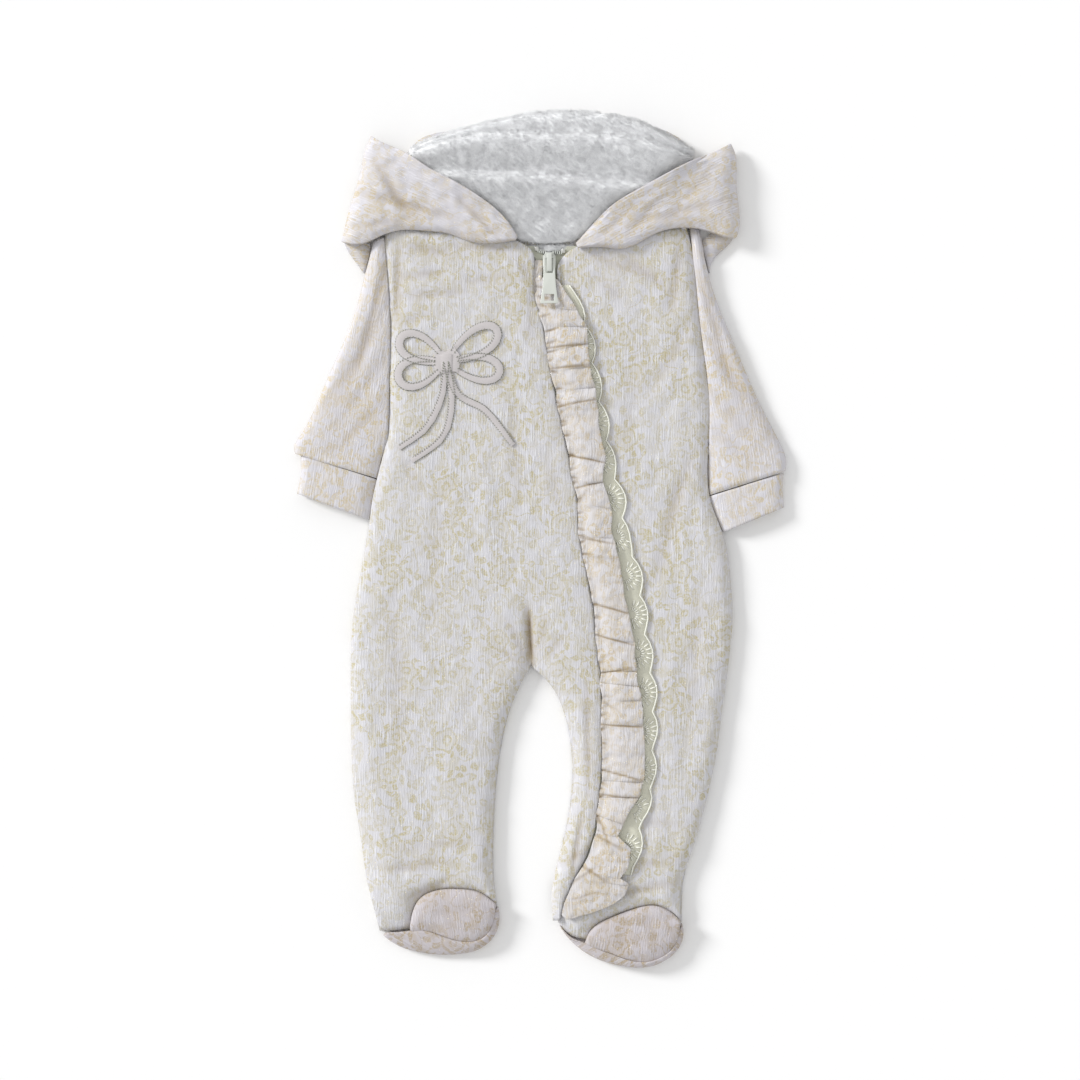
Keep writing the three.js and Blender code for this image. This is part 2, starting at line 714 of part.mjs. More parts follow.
const legShares = ARCH_RIGHT.map(({ share }) => share);
const evenShares = [0, 0.04, 0.12, 0.24, 0.37, 0.5, 0.63, 0.75, 0.86, 0.95, 1];
const crotchShare = 0.725;
const rightFrontShares = [...evenShares.map((share) => share * crotchShare), 0.8, 0.88, 0.96, 1];

// Rows from the neck edge, whose height follows the share across, down to the first straight level.
function shoulderRows(shares, from, to, edgeY) {
  return [0, 0.1, 0.28, 0.5, 0.75, 1].map((t) =>
    shares.map((share) => {
      const y = mix(edgeY(share), NECK_LEVEL, t);
      return [mix(from(y), to(y), share), y];
    }),
  );
}

// Right front: chest, right leg front and the inner strip of the left leg
function rightFront() {
  const neck = shoulderRows(rightFrontShares, sideRight, zipSeam, (share) => {
    const inward = clamp((share - 0.66) / 0.34, 0, 1);
    return SHOULDER - 9.8 * inward ** 1.6;
  });
  const crotchRow = rowAt(CROTCH.y, sideRight(CROTCH.y), zipSeam(CROTCH.y), rightFrontShares);
  crotchRow[evenShares.length - 1] = [CROTCH.x, CROTCH.y];
  const chest = BODY_LEVELS.map((y) => rowAt(y, sideRight(y), zipSeam(y), rightFrontShares));
  const split = evenShares.length - 1;
  const legRows = LEG_LEVELS.map((y, i) => {
    const t = (i + 1) / LEG_LEVELS.length;
    const shares = evenShares.map((share, k) => mix(share, legShares[k], t));
    return rowAt(y, sideRight(y), inseamRight(y), shares);
  });
  const arch = ARCH_RIGHT.map(planPoint);
  const leg = [crotchRow.slice(0, split + 1), ...legRows];
  leg.push(...ruled(legRows[legRows.length - 1], arch, 3).slice(1));
  const stripShares = [0, 0.3, 0.6, 0.85, 1];
  crotchRow.slice(split).forEach(([x], k) => {
    stripShares[k] = (x - CROTCH.x) / (crotchRow[crotchRow.length - 1][0] - CROTCH.x);
  });
  const stripLevels = [...LEG_LEVELS, -248, -258, -266];
  const strip = [crotchRow.slice(split)];
  for (const y of stripLevels) strip.push(rowAt(y, inseamLeft(y), zipSeam(y), stripShares));
  const seams = [...edgeChain(sideRight, 219, -260), ...arch, ...edgeChain(inseamRight, -256, CROTCH.y)];
  seams.push(...edgeChain(inseamLeft, CROTCH.y, -258));
  const top = frontTop(seams, edgeChain(zipSeam, 209, -258), neck[0]);
  return piece("front_right", slab([[...neck, ...chest, crotchRow], leg, strip], top, frontBottom), CLOTH);
}

// Left front: from the zip to the left side seam, down to the foot
function leftFront() {
  const shares = ARCH_LEFT.map(({ share }) => share);
  const neck = shoulderRows(shares, zipFarEdge, sideLeft, (share) => {
    const inward = clamp((0.6 - share) / 0.6, 0, 1);
    return SHOULDER - 13.6 * inward ** 1.6;
  });
  const levels = [...BODY_LEVELS, CROTCH.y, ...LEG_LEVELS, -248];
  const rows = [...neck, ...levels.map((y) => rowAt(y, zipFarEdge(y), sideLeft(y), shares))];
  const arch = ARCH_LEFT.map(planPoint);
  rows.push(...ruled(rows[rows.length - 1], arch, 4).slice(1));
  const seams = [...edgeChain(sideLeft, 219, -260), ...arch.toReversed()];
  const top = frontTop(seams, edgeChain(zipFarEdge, 205, -262), neck[0]);
  return piece("front_left", slab([rows], top, frontBottom), CLOTH);
}

// Plan point of a sole's inner edge on the surface, a set reach in from the toe's outline.
function soleInner({ x, y }, centre, reach) {
  const length = Math.hypot(centre[0] - x, centre[1] - y);
  return between([x, y], centre, reach / length);
}

// Back: one flat panel with both leg backs, ending at the soles' inner edges
function back() {
  const heelOf = (toe, centre) =>
    toe.filter((_, i) => i % 2 === 0).map((row) => soleInner(row, centre, FOOT.floorReach + HEEL_GAP));
  const heelRight = heelOf(TOE_RIGHT, FOOT.centres.right);
  heelRight.unshift(FOOT.heels.right[0]);
  heelRight.push(FOOT.heels.right[1]);
  const heelLeft = heelOf(TOE_LEFT, FOOT.centres.left);
  heelLeft.unshift(FOOT.heels.left[0]);
  heelLeft.push(FOOT.heels.left[1]);
  const sharesOf = (heel) => {
    const lengths = heel.map((p, i) => (i ? Math.hypot(p[0] - heel[i - 1][0], p[1] - heel[i - 1][1]) : 0));
    const whole = lengths.reduce((sum, length) => sum + length);
    return lengths.map((_, i) => lengths.slice(0, i + 1).reduce((sum, length) => sum + length) / whole);
  };
  const crotchAt = (from, to, shares) => rowAt(CROTCH.y, from, to, shares);
  const rightShares = sharesOf(heelRight);
  const leftShares = sharesOf(heelLeft);
  const crotchRight = crotchAt(sideRight(CROTCH.y), CROTCH.x, rightShares);
  const crotchLeft = crotchAt(CROTCH.x, sideLeft(CROTCH.y), leftShares);
  const crotchRow = [...crotchRight, ...crotchLeft.slice(1)];
  const bodyShares = crotchRow.map(([x]) => (x - crotchRow[0][0]) / (crotchRow.at(-1)[0] - crotchRow[0][0]));
  const body = [BACK_TOP, ...BACK_LEVELS].map((y) => rowAt(y, sideRight(y), sideLeft(y), bodyShares));
  const leg = (first, shares, outer, inner, heel) => {
    const rows = BACK_LEG_LEVELS.map((y) => rowAt(y, outer(y), inner(y), shares));
    return [first, ...rows, ...ruled(rows.at(-1), heel, 2).slice(1)];
  };
  const right = leg(crotchRight, rightShares, sideRight, inseamRight, heelRight);
  const left = leg(crotchLeft, leftShares, inseamLeft, sideLeft, heelLeft);
  const rim = [...edgeChain(sideRight, 219, -270), ...edgeChain(inseamRight, -258, CROTCH.y)];
  rim.push(...edgeChain(inseamLeft, CROTCH.y, -264));
  const leftRim = edgeChain(sideLeft, 219, -264);
  const lift = (x, y) => 1 - rounded(Math.min(distanceTo(rim, x, y), distanceTo(leftRim, x, y)), 3);
  return piece("back", slab([[...body, crotchRow], right, left], () => FLOOR_LAYER, lift), CLOTH);
}

// Points of one flattened sleeve section, from its edge at the body round the outside and back.
function tubeSection(innerPoint, outerPoint, { crown, seam, wall }, open) {
  const width = Math.hypot(outerPoint[0] - innerPoint[0], outerPoint[1] - innerPoint[1]);
  const round = Math.min(7, 0.4 * width);
  const near = Math.min(0.14 * width, 6);
  const middle = 0.45 * width;
  const fold = 0.45 * crown;
  const outer = [
    [0, open ? seam : fold],
    [near, 0.92 * crown],
    [middle, crown],
    [width - round, 0.95 * crown],
    [width - 0.35 * round, 0.78 * crown],
    [width, fold],
    [width - 0.35 * round, 0.12 * crown],
    [width - round, 0],
    [middle, 0],
    [near, 0],
    [0, open ? 0 : fold],
  ];
  const far = width - wall - 0.1;
  const inner = [
    [open ? 0 : wall, open ? seam - wall : fold],
    [open ? near : wall + 1.4, 0.92 * crown - wall],
    [Math.min(middle, far - 0.9), crown - wall],
    [Math.min(width - round - 1, far - 0.6), 0.95 * crown - wall],
    [Math.min(width - 0.35 * round - wall, far - 0.3), 0.86 * crown - wall],
    [far, fold],
    [Math.min(width - 0.35 * round - wall, far - 0.3), wall + 0.35],
    [Math.min(width - round - 1, far - 0.6), wall],
    [Math.min(middle, far - 0.9), wall],
    [open ? near : wall + 1.4, wall],
    [open ? 0 : wall, open ? wall : fold],
  ];
  const place = ([s, z]) => [...between(innerPoint, outerPoint, s / width), z];
  return { outer: outer.map(place), inner: inner.map(place) };
}

// A sleeve: open along the armhole above the armpit, a closed flat tube below it
function sleeve(name, rows, side, direction) {
  const sections = rows.map(({ innerY, x, y }) => {
    const inner = [side(innerY) + direction * SEAM_GAP, innerY];
    const size = { ...SLEEVE, crown: SLEEVE.crown - (innerY < SLEEVE.hem.from ? SLEEVE.hem.drop : 0) };
    return tubeSection(inner, [x, y], size, innerY > SLEEVE.armpit);
  });
  return piece(name, foldedWall(sections), CLOTH);
}

// A cuff: a band sewn to the sleeve end, open at the hem
function cuff(name, rows, side, direction) {
  const sections = rows.map(({ innerY, x, y }) => {
    const inner = [side(innerY) + direction * SEAM_GAP, innerY];
    return tubeSection(inner, [x, y], { ...CUFF, seam: CUFF.crown }, false);
  });
  return piece(name, foldedWall(sections), CLOTH);
}

// A bootie sole: from under the heel out to the toe's outline, up and over to the seam with the upper
function sole(name, toe, centre) {
  const sections = toe.map((row, i) => {
    const ends = Math.min(i, toe.length - 1 - i);
    const height = FOOT.rim - 1.8 * clamp(1 - ends / 3, 0, 1);
    const edge = [row.x, row.y];
    const seam = [row.seamX, row.seamY];
    const inner = soleInner(row, centre, FOOT.floorReach);
    const under = (t, z) => [...between(inner, edge, t), z];
    const over = (t, z) => [...between(edge, seam, t), z];
    const wall = FOOT.soleWall;
    return {
      outer: [under(0, 0), under(0.5, 0), under(0.84, 0), under(0.96, 1.4), under(1, 4.2),
        over(0.22, 0.78 * height), over(0.6, 0.95 * height), over(1, height)],
      inner: [under(0, wall), under(0.42, wall), under(0.62, wall + 0.1), under(0.72, wall + 0.5),
        under(0.78, 3.6), over(0.62, 0.78 * height - 2.5), over(0.8, 0.95 * height - 2.5),
        over(1, height - 2.6)],
    };
  });
  return piece(name, foldedWall(sections), CLOTH);
}

// A bootie upper: domed between the leg's arch and the sole's seam
function footTop(name, arch, toe, centre) {
  const inset = (point) => {
    const length = Math.hypot(centre[0] - point[0], centre[1] - point[1]);
    return between(point, centre, SEAM_GAP / length);
  };
  const first = arch.map((row) => inset(planPoint(row)));
  const last = toe.map(({ seamX, seamY }) => inset([seamX, seamY]));
  const rows = [0, 0.08, 0.22, 0.45, 0.7, 0.9, 1].map((t) => first.map((p, i) => between(p, last[i], t)));
  const topAt = (x, y) => {
    const fromSeam = rounded(distanceTo(last, x, y), FOOT.seam.round);
    const fromArch = rounded(distanceTo(first, x, y), FOOT.arch.round);
    const overSeam = mix(FOOT.rim - FOOT.seam.drop, FOOT.crown, fromSeam);
    return Math.min(overSeam, mix(FOOT.arch.height, FOOT.crown, fromArch));
  };
  const bottomAt = (x, y, top) => Math.max(top - FOOT.wall, FRONT_BASE);
  return piece(name, slab([rows], topAt, bottomAt), CLOTH);
}

// Rows of a patch between four edges that meet at its corners.
function patch(top, bottom, left, right, across, down) {
  const [a, b, c, d] = [top(0), top(1), bottom(0), bottom(1)];
  return down.map((v) =>
    across.map((u) => {
      const sides = between(left(v), right(v), u);
      const ends = between(top(u), bottom(u), v);
      const corners = between(between(a, b, u), between(c, d, u), v);
      return sides.map((value, i) => value + ends[i] - corners[i]);
    }),
  );
}

// The hood's outer cloth, lying on the surface behind the neck, with the lobes under its turned sides
function hoodBack() {
  const rim = HOOD_RIM.map(planPoint);
  const base = HOOD_BASE_SHARES.map((share) => [mix(-138, 138.8, share), 219 - SEAM_GAP * 0.2]);
  const pick = (points) => (u) => points[Math.round(u * (points.length - 1))];
  const across = sampled(rim.length - 1);
  const right = path(HOOD_RIGHT_EDGE.map(([x, y]) => [x, mix(y, 219, y < 215 ? 1 : 0)]));
  const left = path(HOOD_LEFT_EDGE.map(([x, y]) => [x, mix(y, 219, y < 215 ? 1 : 0)]));
  const main = patch(pick(rim), pick(base), right, left, across, [0, 0.25, 0.5, 0.75, 1]);
  const bottomRow = main[main.length - 1];
  const lobe = (columns, from, to) => {
    const shares = columns.map((_, i) => i / (columns.length - 1));
    const rows = HOOD_LOBES.map((row) => rowAt(row.y, row[from], row[to], shares));
    return [columns, ...rows];
  };
  const rightLobe = lobe(bottomRow.slice(0, 2), "rightFrom", "rightTo");
  const leftLobe = lobe(bottomRow.slice(-2), "leftFrom", "leftTo");
  const edge = [...HOOD_RIGHT_EDGE.toReversed(), ...rim, ...HOOD_LEFT_EDGE];
  const lift = (x, y) => 0.9 * (1 - rounded(distanceTo(edge, x, y), 4));
  return piece("hood_back", slab([main, rightLobe, leftLobe], () => FLOOR_LAYER, lift), CLOTH);
}

// The plush lining that faces up: three tiers of folds over the hood's outer cloth
function hoodLining() {
  const shares = [0, 0.05, 0.13, 0.25, 0.375, 0.5, 0.625, 0.75, 0.87, 0.95, 1];
  const rows = LINING_FOLDS.map((fold) => {
    const spread = [0, 1, 2, 3, 4].map((i) => ({ share: i / 4, y: fold["y" + i] }));
    const yAt = curve(spread, "share", "y");
    return shares.map((share) => {
      const width = fold.right - fold.left;
      const inFromEnd = Math.min(share, 1 - share) * width;
      const height = mix(Math.min(6.4, fold.height), fold.height, rounded(inFromEnd, 15));
      return [mix(fold.left, fold.right, share), yAt(share), height];
    });
  });
  return piece("hood_lining", slab([rows], (x, y, z) => z, () => LINING_BASE), PLUSH);
}

// Ends of the neck lining's rows, between the fronts
const NECK_ROWS = table("y left right", [
  [206.7, -6.6, 23.6],
  [204.6, -6.2, 21.4],
  [202.6, -4.6, 18.4],
]);

// Plush that shows in the neck opening, between the fronts and behind the slider
function neckLining() {
  const { edge, rise, halfWidth, middle, shares } = NECK_LINING;
  const rows = NECK_ROWS.map(({ y, left, right }) => rowAt(y, left, right, shares));
  const inFrom = (x) => clamp(halfWidth - Math.abs(x - middle), 0, halfWidth);
  const topAt = (x) => edge + rise * rounded(inFrom(x), halfWidth);
  return piece("neck_lining", slab([rows], topAt, () => FRONT_BASE), PLUSH);
}

// A hood side turned out over the shoulder, draped on what lies under it
function hoodSide(name, edges, support) {
  const { opening, lower, outer, inner } = edges;
  const { across, down, round, brim } = HOOD_SIDE;
  const plan = patch(opening, lower, outer, inner, across, down);
  const under = highestNear(support, HOOD_SIDE.reach);
  const rows = plan.map((row, r) =>
    row.map(([x, y], c) => {
      const v = down[r];
      const u = across[c];
      const fromLower = rounded(1 - v, round.lower);
      const fromOpening = rounded(v, round.opening);
      const fromOuter = rounded(u, round.outer);
      const fromNeck = rounded(1 - u, round.neck);
      const smooth = mix(brim, mix(HOOD_SIDE.neck, HOOD_SIDE.outer, 1 - u), Math.min(fromOuter, 1));
      const inward = Math.min(fromLower, fromOpening, mix(0.5, 1, fromNeck));
      const settled = mix(HOOD_SIDE.edge, smooth, inward);
      const seat = under(x, y) + LAYER_GAP + HOOD_SIDE.layers;
      return [x, y, Math.max(Math.min(settled, smooth), seat)];
    }),
  );
  const bottomAt = (x, y) => Math.max(under(x, y) + LAYER_GAP, FRONT_BASE);
  return piece(name, slab([rows], (x, y, z) => z, bottomAt), CLOTH);
}

// How far each tape's inner edge stands from the zip's middle, down to the closed part
const ZIP_PARTING = table("y right left", [
  [206.2, 8.8, 13.0],
  [203.2, 6.6, 9.0],
  [200.0, 4.2, 5.0],
  [196.0, 2.4, 2.4],
  [190.0, 0.7, 0.7],
  [184.0, 0.2, 0.2],
  [ZIP_END, 0.2, 0.2],
]);
const ZIP_CLOSED = 184; // level below which the tapes lie side by side
const ZIP_LEVELS = [152, 142, 132, 119, 105, 90, 70, 50, 30, 10, -8, -30, -60, -90, -115, -140, -166];
ZIP_LEVELS.push(-180, -203, -221, -238, ZIP_END);
const TAPE_LEVELS = [206.2, 203.2, 200, 196, 190, ZIP_CLOSED, 172, 162, ...ZIP_LEVELS];
const CHAIN_LEVELS = [182.2, 176, 168, 160, ...ZIP_LEVELS];

// One tape of the zip, parting from the other above the slider
function zipTape(name, direction) {
  const offset = curve(ZIP_PARTING, "y", direction < 0 ? "right" : "left");
  const { reach, width } = TAPE;
  const far = (y) => (y > ZIP_CLOSED ? Math.max(reach, offset(y) + width) : reach);
  const rows = TAPE_LEVELS.map((y) =>
    rowAt(y, zipMiddle(y) + direction * offset(y), zipMiddle(y) + direction * far(y), [0, 1]),
  );
  return piece(name, slab([rows], () => TAPE.top, () => TAPE.base), TAPE_CLOTH);
}

// The closed chain of teeth under the frill, from the slider to the foot
function zipChain() {
  const { halfWidth, base, top } = CHAIN;
  const rows = CHAIN_LEVELS.map((y) => rowAt(y, zipMiddle(y) - halfWidth, zipMiddle(y) + halfWidth, [0, 1]));
  return piece("zip_chain", slab([rows], () => top, () => base), PAINTED_METAL);
}

// Joins closed geometries into one body, or cuts the later ones from the first.
function combine(geometries, method) {
  const solids = geometries.map((geometry) => {
    const source = new Shell();
    const position = geometry.getAttribute("position");
    const index = geometry.index ? geometry.index.array : position.array.keys();
    const corner = (i) => [position.getX(i), position.getY(i), position.getZ(i)];
    const order = [...index].slice(0, geometry.index ? undefined : position.count);
    for (let i = 0; i < order.length; i += 3)
      source.triangle(corner(order[i]), corner(order[i + 1]), corner(order[i + 2]));
    return new wasm.Manifold(
      new wasm.Mesh({
        numProp: 3,
        vertProperties: new Float32Array(source.points.flat()),
        triVerts: new Uint32Array(source.faces.flat()),
      }),
    );
  });
  const joined = solids.reduce((whole, next) => whole[method](next));
  const { vertProperties, triVerts } = joined.getMesh();
  const made = new THREE.BufferGeometry();
  made.setAttribute("position", new THREE.BufferAttribute(vertProperties, 3));
  made.setIndex(new THREE.BufferAttribute(triVerts, 1));
  made.computeVertexNormals();
  return made;
}

// A flat outline given thickness from a base level up.
function plate(outline, base, thickness, holes = []) {
  const shape = new THREE.Shape(outline.map(([x, y]) => new THREE.Vector2(x, y)));
  for (const hole of holes) shape.holes.push(new THREE.Path(hole.map(([x, y]) => new THREE.Vector2(x, y))));
  const made = new THREE.ExtrudeGeometry(shape, { depth: thickness, bevelEnabled: false, steps: 1 });
  made.translate(0, 0, base);
  return made;
}

// Slider and pull tab, at the top of the closed zip
const SLIDER = { x: 6.5, top: 201.6, bottom: 184.4, shoulder: 4.5, mouth: 3.6 };
SLIDER.lowerPlate = { base: 3.7, thickness: 0.85 };
SLIDER.upperPlate = { base: 8.0, thickness: 1.2 };
const BRIDGE = { halfWidth: 1.7, top: 14.2, underside: 13, from: 201.2, to: 187.2, leg: 1.5 };
const TAB = { axisY: 197.6, axisZ: 11.2, halfThickness: 0.7, tilt: THREE.MathUtils.degToRad(9) };
TAB.slot = { halfWidth: 2.5, length: 11.2 };
TAB.window = { halfWidth: 3.4, from: 26.4, to: 31.2 };

// Half-width of the pull tab at a distance below its crossbar
const TAB_OUTLINE = table("down half", [
  [-1.3, 2.6],
  [-0.7, 3.7],
  [1.5, 4.1],
  [12.0, 4.1],
  [20.0, 4.6],
  [28.0, 5.6],
  [32.4, 6.3],
  [33.0, 6.0],
]);

function zipSlider() {
  const { x, top, bottom, shoulder, mouth } = SLIDER;
  const outline = [
    [x - 2.2, top],
    [x + 2.2, top],
    [x + shoulder, top - 2.6],
    [x + shoulder, top - 8],
    [x + mouth, bottom],
    [x - mouth, bottom],
    [x - shoulder, top - 8],
    [x - shoulder, top - 2.6],
  ];
  const post = [
    [x - 1.1, top - 0.4],
    [x + 1.1, top - 0.4],
    [x, top - 4.4],
  ];
  const lower = plate(outline, SLIDER.lowerPlate.base, SLIDER.lowerPlate.thickness);
  const upper = plate(outline, SLIDER.upperPlate.base, SLIDER.upperPlate.thickness);
  const postBase = SLIDER.lowerPlate.base + SLIDER.lowerPlate.thickness - 0.3;
  const middle = plate(post, postBase, SLIDER.upperPlate.base + 0.3 - postBase);
  const seat = SLIDER.upperPlate.base + SLIDER.upperPlate.thickness - 0.4;
  const { from, to, leg, top: high, underside, halfWidth } = BRIDGE;
  const arch = [
    [from, seat],
    [from, high - 2],
    [from - 0.7, high - 0.6],
    [from - 2.2, high],
    [to + 2.2, high],
    [to + 0.7, high - 0.6],
    [to, high - 2],
    [to, seat],
    [to + leg, seat],
    [to + leg, underside - 1],
    [to + leg + 1, underside],
    [from - leg - 0.4, underside],
    [from - leg, underside - 0.4],
    [from - leg, seat],
  ];
  const bridge = plate(arch, -halfWidth, 2 * halfWidth);
  const turned = new THREE.Matrix4().set(0, 0, 1, x, 1, 0, 0, 0, 0, 1, 0, 0, 0, 0, 0, 1);
  bridge.applyMatrix4(turned);
  return piece("zip_slider", combine([upper, middle, lower, bridge], "add"), PAINTED_METAL);
}

function pullTab() {
  const { axisY, axisZ, halfThickness, slot, window } = TAB;
  const x = SLIDER.x;
  const right = TAB_OUTLINE.map(({ down, half }) => [x + half, axisY - down]);
  const left = TAB_OUTLINE.toReversed().map(({ down, half }) => [x - half, axisY - down]);
  const box = (halfWidth, from, to) => [
    [x - halfWidth, axisY - from],
    [x - halfWidth, axisY - to],
    [x + halfWidth, axisY - to],
    [x + halfWidth, axisY - from],
  ];
  const holes = [box(slot.halfWidth, 0.7, slot.length), box(window.halfWidth, window.from, window.to)];
  const blade = plate([...right, ...left], axisZ - halfThickness, 2 * halfThickness, holes);
  blade.translate(0, -axisY, -axisZ);
  blade.rotateX(-TAB.tilt);
  blade.translate(0, axisY, axisZ);
  return piece("zip_pull_tab", blade, PAINTED_METAL);
}

// A top stop: a small clamp on the end of each tape
function zipStop(name, [x, y]) {
  const { halfWidth, halfLength, lift, thickness } = STOP;
  const outline = [
    [x - halfWidth, y - halfLength],
    [x + halfWidth, y - halfLength],
    [x + halfWidth, y + halfLength],
    [x - halfWidth, y + halfLength],
  ];
  return piece(name, plate(outline, TAPE.top + lift, thickness), BRIGHT_METAL);
}

// Embroidered organza strip on the left front, scalloped along its free edge
function lace(support) {
  const tips = curve(LACE_TIPS, "y", "x");
  const { from, to, pitch, depth, wall, lift, fade } = LACE;
  const count = Math.round((from - to) / (pitch / 5));
  const rows = sampled(count).map((t) => {
    const y = mix(from, to, t);
    const wave = Math.abs(Math.sin((Math.PI * (from - y)) / pitch));
    const right = tips(y) - depth * (1 - wave ** 0.7) * clamp((from - y) / fade, 0, 1);
    return rowAt(y, zipFarEdge(y) + 1, right, [0, 0.4, 1]);
  });
  const near = highestNear(support, LACE.reach);
  const topAt = (x, y) => near(x, y) + lift + wall;
  return piece("lace", slab([rows], topAt, (x, y, top) => top - wall), ORGANZA);
}

// The frill over the zip: knife pleats, each rising to its fold and dropping to the next
function ruffle(support) {
  const across = [0, 0.15, 0.4, 0.7, 1];
  const steps = table("share lift", [
    [0.06, 0.1],
    [0.42, 0.78],
    [0.94, 1],
  ]);
  const near = highestNear(support, RUFFLE.reach);
  const rows = [];
  for (let i = 1; i < PLEATS.length; i++) {
    const [above, below] = [PLEATS[i - 1], PLEATS[i]];
    for (const { share, lift } of steps) {
      const seamY = mix(above.seamY, below.seamY, share);
      const edge = [mix(above.edgeX, below.edgeX, share), mix(above.edgeY, below.edgeY, share)];
      const start = [zipSeam(seamY) + 2 * SEAM_GAP, seamY];
      const row = across.map((t) => {
        const [x, y] = between(start, edge, t);
        const rise = mix(RUFFLE.seamRise, RUFFLE.rise, t) * lift * below.rise;
        return [x, y, near(x, y) + RUFFLE.lift + RUFFLE.wall + rise];
      });
      rows.push(row);
    }
  }
  return piece("ruffle", slab([rows], (x, y, z) => z, (x, y, top) => top - RUFFLE.wall), CLOTH);
}

// Loops and tails of the ribbon bow, by direction, length and half-width
const BOW_LOOPS = table("angle length half", [
  [153, 36, 8.6],
  [199, 35, 9.2],
  [33, 42, 8.6],
  [-10, 38, 8.2],
]);
const BOW_TAILS = table("x1 y1 x2 y2 x3 y3", [
  [-3, -24, -14, -46, -33, -60],
  [4, -26, -2, -52, -24, -69],
  [8, -22, 28, -34, 47, -58],
]);

// A flat band that follows a centre line over the cloth, with a width at each share of its length.
// Each band's underside lies a step above that of the band before it.
function band(points, widthAt, thickness, order, surface) {
  const rows = points.map(([x, y], i) => {
    const width = widthAt(i / (points.length - 1));
    const before = points[Math.max(i - 1, 0)];
    const after = points[Math.min(i + 1, points.length - 1)];
    const length = Math.hypot(after[0] - before[0], after[1] - before[1]);
    const across = [-(after[1] - before[1]) / length, (after[0] - before[0]) / length];
    return [-0.5, 0.5].map((side) => [x + across[0] * side * width, y + across[1] * side * width]);
  });
  return slab(
    [rows],
    (x, y) => surface(x, y) + BOW.lift + thickness,
    (x, y) => surface(x, y) + BOW.lift + BOW.step * order,
  );
}

function bow(surface) {
  const slim = BOW.slimmest * BOW.band;
  const knot = sampled(4).map((t) => [BOW.x + 0.4, mix(BOW.y + BOW.knot, BOW.y - BOW.knot, t)]);
  const parts = [band(knot, () => 1.3 * BOW.knot, BOW.thickness + 0.76, 0, surface)];
  BOW_LOOPS.forEach(({ angle, length, half }, i) => {
    const heading = (angle * Math.PI) / 180;
    const place = ([along, aside]) => [
      BOW.x + along * Math.cos(heading) - aside * Math.sin(heading),
      BOW.y + along * Math.sin(heading) + aside * Math.cos(heading),
    ];
    const loopAt = (round) => [
      (length * (1 - Math.cos(round))) / 2,
      1.3 * half * Math.sin(round) * Math.sin(round / 2),
    ];
    const apart = 0.9;
    const loop = sampled(14).map((t) => place(loopAt(mix(apart, 2 * Math.PI - apart, t))));
    const [reach, aside] = loopAt(apart + 0.16);
    const root = sampled(3).map((t) => place([mix(-1.3, reach, t), 0.11 * i]));
    const spread = 2 * aside + 0.8 * slim;
    const loopWidth = (t) => mix(slim, BOW.band, Math.sin(Math.PI * t) ** 0.8);
    parts.push(band(loop, loopWidth, BOW.thickness + 0.05 * i, parts.length, surface));
    parts.push(band(root, () => spread, BOW.thickness + 0.3 + 0.03 * i, parts.length, surface));
  });
  BOW_TAILS.forEach(({ x1, y1, x2, y2, x3, y3 }, i) => {
    const ends = [[0.7 * i - 0.6, 0.4 * i], [x1, y1], [x2, y2], [x3, y3]];
    const route = path(ends.map(([x, y]) => [BOW.x + x, BOW.y + y]));
    const points = sampled(7).map((t) => route(t));
    const widthAt = (t) => mix(slim, 0.8 * BOW.band, Math.sin(Math.PI * mix(0.1, 0.9, t)));
    parts.push(band(points, widthAt, BOW.thickness - 0.06 - 0.06 * i, parts.length, surface));
  });
  return piece("bow_applique", combine(parts, "add"), SATIN);
}

const frontRight = rightFront();
const frontLeft = leftFront();
back();
const sleeveRight = sleeve("sleeve_right", SLEEVE_RIGHT, sideRight, -1);
const sleeveLeft = sleeve("sleeve_left", SLEEVE_LEFT, sideLeft, 1);
cuff("cuff_right", CUFF_RIGHT, sideRight, -1);
cuff("cuff_left", CUFF_LEFT, sideLeft, 1);
sole("sole_right", TOE_RIGHT, FOOT.centres.right);
sole("sole_left", TOE_LEFT, FOOT.centres.left);
footTop("foot_top_right", ARCH_RIGHT.slice(2), TOE_RIGHT.slice(2), FOOT.centres.right);
footTop("foot_top_left", ARCH_LEFT.slice(3), TOE_LEFT.slice(2), FOOT.centres.left);
const hoodCloth = hoodBack();
const lining = hoodLining();
neckLining();
const under = surfaceOf(frontRight, frontLeft, sleeveRight, sleeveLeft, hoodCloth, lining);
const rightEdges = {
  opening: path(SIDE_RIGHT_OPENING),
  lower: path(SIDE_RIGHT_LOWER),
  outer: path(SIDE_RIGHT_OUTER),
  inner: path([SIDE_RIGHT_OPENING.at(-1), SIDE_RIGHT_LOWER.at(-1)]),
};
const leftEdges = {
  opening: path(SIDE_LEFT_OPENING),
  lower: path(SIDE_LEFT_LOWER),
  outer: path(SIDE_LEFT_OUTER),
  inner: path([SIDE_LEFT_OPENING.at(-1), SIDE_LEFT_LOWER.at(-1)]),
};
hoodSide("hood_side_right", rightEdges, under);
hoodSide("hood_side_left", leftEdges, under);
const tapeRight = zipTape("zip_tape_right", -1);
const tapeLeft = zipTape("zip_tape_left", 1);
const chain = zipChain();
zipSlider();
pullTab();
zipStop("zip_stop_right", STOP.places.right);
zipStop("zip_stop_left", STOP.places.left);
const laceStrip = lace(surfaceOf(frontLeft));
ruffle(surfaceOf(frontLeft, tapeRight, tapeLeft, chain, laceStrip));
bow(highestNear(surfaceOf(frontRight), BOW.reach));

// The origin is the middle of the box that the garment fills, on the surface it lies on.
const bounds = new THREE.Box3().setFromObject(garment);
const middle = bounds.getCenter(new THREE.Vector3());
garment.position.set(-middle.x, -middle.y, -bounds.min.z);

export default garment;
